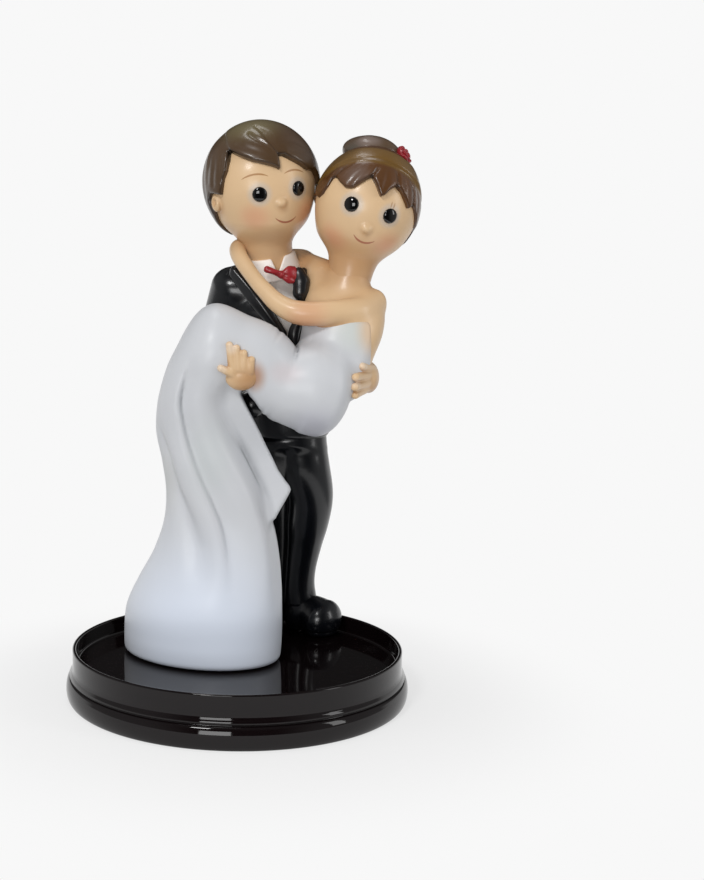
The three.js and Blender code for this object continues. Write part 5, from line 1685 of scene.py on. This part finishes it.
class FIGURINE_OT_eyes(bpy.types.Operator):
    """Set the four drops of black enamel that are the couple's eyes"""

    bl_idname = "figurine.eyes"
    bl_label = "Eyes"

    def execute(self, context):
        paint = eye_paint()
        for who, head, face in (("groom", GROOM, GROOM_FACE), ("bride", BRIDE, BRIDE_FACE)):
            for side, direction in zip(("right", "left"), face["eyes"]):
                spot = head.placed(*head.face_point(*direction))
                cast(f"{who}_eye_{side}_drop", eye_field(head, direction), spot - EYE_ROOM, spot + EYE_ROOM,
                     cell(0.3), paint, [f"{who}_eye_{side}"])
        return {"FINISHED"}


class FIGURINE_OT_groom_hair(bpy.types.Operator):
    """Sculpt the groom's combed hair"""

    bl_idname = "figurine.groom_hair"
    bl_label = "Groom's hair"

    def execute(self, context):
        cast("groom_hair_cast", hair_field(GROOM, GROOM_BARE, GROOM_GROOVES), (-16, -9, 112), (28, 33, 156),
             cell(0.6), groom_hair_paint(), ["groom_hair"])
        return {"FINISHED"}


class FIGURINE_OT_bride_hair(bpy.types.Operator):
    """Sculpt the bride's hair, its band and the bun on top"""

    bl_idname = "figurine.bride_hair"
    bl_label = "Bride's hair and bun"

    def execute(self, context):
        cast("bride_hair_cast", hair_field(BRIDE, BRIDE_BARE, BRIDE_GROOVES, band=True), (14, -14, 106),
             (57, 26, 149), cell(0.6), bride_hair_paint(), ["bride_hair"])
        cast("bride_bun_cast", bun_field(), (26, 4, 136), (48, 23, 150), cell(0.6), bun_paint(),
             ["bride_hair_bun"])
        return {"FINISHED"}


class FIGURINE_OT_rose(bpy.types.Operator):
    """Set the red rose beside the bun"""

    bl_idname = "figurine.rose"
    bl_label = "Rose"

    def execute(self, context):
        paint = shared_paint("red_paint", red_paint)
        values = {"Ring Radius": settings().rose_ring, "Enamel": paint}
        mesh = grown("rose_petals", points_mesh("rose_place", [ROSE_AT]), rose_tree(), values)
        finish_piece("rose_petals", mesh, paint, ["bride_hair_rose"])
        return {"FINISHED"}


class FIGURINE_OT_groom_jacket(bpy.types.Operator):
    """Sculpt the groom's jacket with its sleeves, and the lapels laid on it"""

    bl_idname = "figurine.groom_jacket"
    bl_label = "Groom's jacket"

    def execute(self, context):
        suit, satin = shared_paint("suit_paint", suit_paint), satin_paint()
        cast("groom_jacket_cast", jacket_field(), (-17, -10, 58), (42, 34, 116), cell(0.8), suit,
             ["groom_jacket", "groom_sleeve_right", "groom_sleeve_left"])
        lapels = (("right", RIGHT_LAPEL, -1, []), ("left", LEFT_LAPEL, 1, LEFT_LOBES))
        for side, stations, lean, lobes in lapels:
            cast(f"groom_lapel_{side}_cast", lapel_field(stations, lean, lobes), (-8, 2, 84), (24, 16, 114),
                 cell(0.6), satin, [f"groom_lapel_{side}"])
        return {"FINISHED"}


class FIGURINE_OT_groom_shirt(bpy.types.Operator):
    """Sculpt the groom's shirt front, stand-up collar and bow tie"""

    bl_idname = "figurine.groom_shirt"
    bl_label = "Groom's shirt and bow tie"

    def execute(self, context):
        shirt, red = shirt_paint(), shared_paint("red_paint", red_paint)
        for name, field, low, high, share, paint, slot in (
            ("shirt", shirt_field(), (-6, 4, 82), (24, 18, 114), 0.8, shirt, "shirt"),
            ("collar", collar_field(), (-4, 3, 106), (21, 28, 116), 0.6, shirt, "shirt"),
            ("bow_tie", bow_field(), (2, 1, 103), (19, 9, 114), 0.45, red, "red_enamel"),
        ):
            cast(f"groom_{name}_cast", field, low, high, cell(share), paint, [f"groom_{name}"])
        return {"FINISHED"}


class FIGURINE_OT_groom_hands(bpy.types.Operator):
    """Sculpt the groom's two hands"""

    bl_idname = "figurine.groom_hands"
    bl_label = "Groom's hands"

    def execute(self, context):
        paint = shared_paint("skin_painted_shade_and_highlights", body_skin)
        for side, hand, low, high in (
            ("right", RIGHT_HAND, (-8, -22, 75), (9, -11, 93)),
            ("left", LEFT_HAND, (27, -15, 72), (42, 12, 88)),
        ):
            cast(f"groom_hand_{side}_cast", hand_field(*hand), low, high, cell(0.5), paint,
                 [f"groom_hand_{side}"])
        return {"FINISHED"}


class FIGURINE_OT_groom_legs(bpy.types.Operator):
    """Sculpt the groom's trousers and shoes"""

    bl_idname = "figurine.groom_legs"
    bl_label = "Groom's trousers and shoes"

    def execute(self, context):
        suit = shared_paint("suit_paint", suit_paint)
        cast("groom_trousers_cast", trousers_field(), (-2, 7, 5), (33, 42, 76), cell(0.8), suit,
             ["groom_trousers"])
        for side, stations in (("left", LEFT_SHOE), ("right", RIGHT_SHOE)):
            spot = np.array(stations[1][0])
            cast(f"groom_shoe_{side}_cast", shoe_field(stations), spot - SHOE_ROOM[0], spot + SHOE_ROOM[1],
                 cell(0.65), suit, [f"groom_shoe_{side}"])
        return {"FINISHED"}


class FIGURINE_OT_bride_body(bpy.types.Operator):
    """Sculpt the bride's shoulders, arms and clasped hands"""

    bl_idname = "figurine.bride_body"
    bl_label = "Bride's shoulders and arms"

    def execute(self, context):
        paint = shared_paint("skin_painted_shade_and_highlights", body_skin)
        cast("bride_body_cast", bride_body_field(), (-6, -14, 70), (46, 30, 122), cell(0.75), paint,
             ["bride_torso", "bride_arm_left", "bride_arm_right", "bride_hand_left", "bride_hand_right"])
        return {"FINISHED"}


class FIGURINE_OT_dress(bpy.types.Operator):
    """Sculpt the hanging dress with its folds, the lap and the bodice"""

    bl_idname = "figurine.dress"
    bl_label = "Dress"

    def execute(self, context):
        cast("dress_cast", dress_field(), (-36, -24, -1), (42, 30, 106), cell(1.0), pearl_paint(),
             ["bride_skirt", "bride_bodice"])
        return {"FINISHED"}


class FIGURINE_OT_plinth(bpy.types.Operator):
    """Turn the plinth and the two screw bosses under its floor"""

    bl_idname = "figurine.plinth"
    bl_label = "Plinth"

    def execute(self, context):
        shape = turned(plinth_profile(), (0.0, 0.0), PLINTH_SIDES)
        mesh = bpy.data.meshes.new("plinth_turned")
        for place in SCREW_PLACES:
            boss = turned(boss_profile(), place, BOSS_SIDES)
            part = bpy.data.meshes.new("boss")
            boss.to_mesh(part)
            boss.free()
            shape.from_mesh(part)
            bpy.data.meshes.remove(part)
        shape.to_mesh(mesh)
        shape.free()
        mesh.shade_smooth()
        finish_piece("plinth_turned", mesh, plinth_paint(), ["plinth"])
        return {"FINISHED"}


class FIGURINE_OT_screws(bpy.types.Operator):
    """Drive the two screws that hold the couple on the plinth"""

    bl_idname = "figurine.screws"
    bl_label = "Screws"

    def execute(self, context):
        steel = steel_paint()
        seat = -FLOOR_THICKNESS - BOSS_HEIGHT
        length_inside = BOSS_HEIGHT + FLOOR_THICKNESS + SCREW_BITE - SCREW_HEAD_HEIGHT
        tree = screw_tree()
        values = {
            "Head Radius": (SCREW_HEAD - HEAD_PLAY) * MM, "Head Height": SCREW_HEAD_HEIGHT * MM,
            "Shank Radius": (SCREW_SHANK - CREST_HEIGHT) * MM, "Shank Length": length_inside * MM,
            "Metal": steel,
        }
        for name, place in zip(("dress", "shoe"), SCREW_PLACES):
            base = points_mesh(f"{name}_screw_place", [(*place, seat)])
            mesh = grown(f"{name}_screw_steel", base, tree, values)
            finish_piece(f"{name}_screw_steel", mesh, steel, [f"{name}_screw"])
        return {"FINISHED"}


CAMERA_DISTANCE, CAMERA_HEIGHT = 0.350, 0.11344
CAMERA_DIP, CAMERA_ROLL = 0.1172, 0.0091
AMBIENT = 0.42
FLOOR_RADIUS, FLOOR_SIDES = 0.135, 96
FADE_START, FADE_END, FADE_LEAST = 0.05, 0.85, 0.7
PAPER = (0.95, 0.95, 0.95, 1.0)
AIM_HEIGHT, NEAREST_SEEN = 0.09, 0.01
# Each lamp as its name, place, size and share of the key lamp's power
LAMPS = (
    ("key_softbox", (-0.30, -0.60, 0.62), (0.16, 0.16), 1.0),
    ("front_softbox", (-0.20, -0.85, 0.12), (0.3, 0.3), 0.9),
    ("fill_softbox", (0.80, -0.35, 0.30), (0.16, 0.5), 0.5),
    ("top_softbox", (-0.1, 0.10, 0.95), (0.3, 0.3), 0.45),
)
BACKDROP = tint(248, 248, 248)


def softbox(name, place, aim, size, power):
    lamp = bpy.data.lights.new(name, "AREA")
    lamp.shape = "RECTANGLE"
    lamp.size, lamp.size_y = size
    lamp.energy = power
    stand = bpy.data.objects.new(name, lamp)
    stand.location = place
    stand.rotation_euler = (Vector(aim) - Vector(place)).to_track_quat("-Z", "Y").to_euler()
    bpy.context.scene.collection.objects.link(stand)


class FIGURINE_OT_stage(bpy.types.Operator):
    """Set the pale floor, the soft studio light and the camera"""

    bl_idname = "figurine.stage"
    bl_label = "Studio"

    def execute(self, context):
        floor_mesh = bpy.data.meshes.new("studio_floor")
        turns = [2 * math.pi * k / FLOOR_SIDES for k in range(FLOOR_SIDES)]
        rim = [(FLOOR_RADIUS * math.cos(turn), FLOOR_RADIUS * math.sin(turn), 0.0) for turn in turns]
        floor_mesh.from_pydata(rim, [], [tuple(range(FLOOR_SIDES))])
        floor = bpy.data.objects.new("studio_floor", floor_mesh)
        floor_mesh.materials.append(floor_paint())
        context.scene.collection.objects.link(floor)
        for name, place, size, share in LAMPS:
            softbox(name, place, (AXIS_X * MM, 0.0, AIM_HEIGHT), size, settings().key_power * share)
        context.scene.world = studio_world()
        lens = bpy.data.cameras.new("studio_camera")
        lens.sensor_width = SENSOR
        lens.lens = FOCAL_PX / PHOTO_SIZE[1] * SENSOR
        lens.shift_x = (PHOTO_SIZE[0] / 2 - PHOTO_AXIS_PX) / PHOTO_SIZE[1]
        lens.clip_start = NEAREST_SEEN
        camera = bpy.data.objects.new("studio_camera", lens)
        camera.location = (AXIS_X * MM, -CAMERA_DISTANCE, CAMERA_HEIGHT)
        facing = Matrix.Rotation(math.pi / 2 - CAMERA_DIP, 3, "X") @ Matrix.Rotation(CAMERA_ROLL, 3, "Z")
        camera.rotation_euler = facing.to_euler()
        context.scene.collection.objects.link(camera)
        context.scene.camera = camera
        context.scene.view_settings.view_transform = "Standard"
        return {"FINISHED"}


def floor_paint():
    """Pale paper near the figurine, which fades into the white of the backdrop farther out."""
    material = bpy.data.materials.new("studio_floor")
    material.use_nodes = True
    tree = material.node_tree
    shader = tree.nodes["Principled BSDF"]
    shader.inputs["Base Color"].default_value = PAPER
    shader.inputs["Roughness"].default_value = 0.8
    shader.inputs["Specular IOR Level"].default_value = 0.1
    place = add_node(tree, "ShaderNodeTexCoord").outputs["Object"]
    out = vector_calc(tree, "LENGTH", place)
    far = ramp(tree, out, FADE_START, FLOOR_RADIUS * FADE_END, FADE_LEAST, 1.0)
    rays = add_node(tree, "ShaderNodeLightPath").outputs
    mirrored = calc(tree, "MAXIMUM", rays["Is Glossy Ray"], rays["Is Transmission Ray"])
    seen = calc(tree, "MAXIMUM", rays["Is Camera Ray"], mirrored)
    glow = add_node(tree, "ShaderNodeEmission", {"Color": BACKDROP, "Strength": 1.0})
    mixed = add_node(tree, "ShaderNodeMixShader", {
        0: calc(tree, "MULTIPLY", far, seen), 1: shader.outputs[0], 2: glow.outputs[0],
    })
    connect(tree, tree.nodes["Material Output"].inputs["Surface"], mixed.outputs[0])
    return material


def studio_world():
    """Even air light, with soft pale walls that only polished surfaces mirror."""
    world = bpy.data.worlds.new("studio_air")
    world.use_nodes = True
    tree = world.node_tree
    air = tree.nodes["Background"]
    direction = add_node(tree, "ShaderNodeTexCoord").outputs["Generated"]
    aside, depth, rise = add_node(tree, "ShaderNodeSeparateXYZ", {0: direction}).outputs
    low = ramp(tree, rise, 0.2, 0.26, 1.0, 0.0)
    behind = calc(tree, "MULTIPLY", ramp(tree, depth, 0.1, 0.5, 0.0, 1.0), low)
    beside = ramp(tree, calc(tree, "ABSOLUTE", aside), 0.3, 1.0, 0.03, 0.4)
    above = ramp(tree, rise, 0.3, 0.9, 0.0, 0.12)
    seen = calc(tree, "ADD", calc(tree, "MAXIMUM", behind, beside), above)
    rays = add_node(tree, "ShaderNodeLightPath").outputs
    mirrored = calc(tree, "MAXIMUM", rays["Is Glossy Ray"], rays["Is Transmission Ray"])
    strength = AMBIENT
    for share, other in ((mirrored, seen), (rays["Is Camera Ray"], 1.0)):
        mixed = add_node(tree, "ShaderNodeMix", {0: share, 2: strength, 3: other}, data_type="FLOAT")
        strength = mixed.outputs[0]
    connect(tree, air.inputs["Color"], BACKDROP)
    connect(tree, air.inputs["Strength"], strength)
    return world


PIECES = [
    FIGURINE_OT_plinth, FIGURINE_OT_screws, FIGURINE_OT_dress, FIGURINE_OT_bride_body, FIGURINE_OT_bride_head,
    FIGURINE_OT_bride_hair, FIGURINE_OT_rose, FIGURINE_OT_groom_legs, FIGURINE_OT_groom_jacket,
    FIGURINE_OT_groom_shirt, FIGURINE_OT_groom_hands, FIGURINE_OT_groom_head, FIGURINE_OT_groom_hair,
    FIGURINE_OT_eyes, FIGURINE_OT_stage,
]


class FIGURINE_PT_workshop(bpy.types.Panel):
    """Lists every piece of the figurine, and the studio"""

    bl_idname = "FIGURINE_PT_workshop"
    bl_label = "Wedding Couple Figurine"
    bl_space_type = "VIEW_3D"
    bl_region_type = "UI"
    bl_category = "Figurine"

    def draw(self, context):
        layout = self.layout
        values = context.scene.figurine_settings
        for name in FigurineSettings.__annotations__:
            layout.prop(values, name)
        for piece in PIECES:
            layout.operator(piece.bl_idname)


CLASSES = [FigurineSettings, *PIECES, FIGURINE_PT_workshop]


def register():
    for part in CLASSES:
        bpy.utils.register_class(part)
    bpy.types.Scene.figurine_settings = bpy.props.PointerProperty(type=FigurineSettings)


def unregister():
    del bpy.types.Scene.figurine_settings
    for part in reversed(CLASSES):
        bpy.utils.unregister_class(part)


def main():
    register()
    for piece in PIECES:
        group, name = piece.bl_idname.split(".")
        getattr(getattr(bpy.ops, group), name)()


if __name__ == "__main__":
    main()
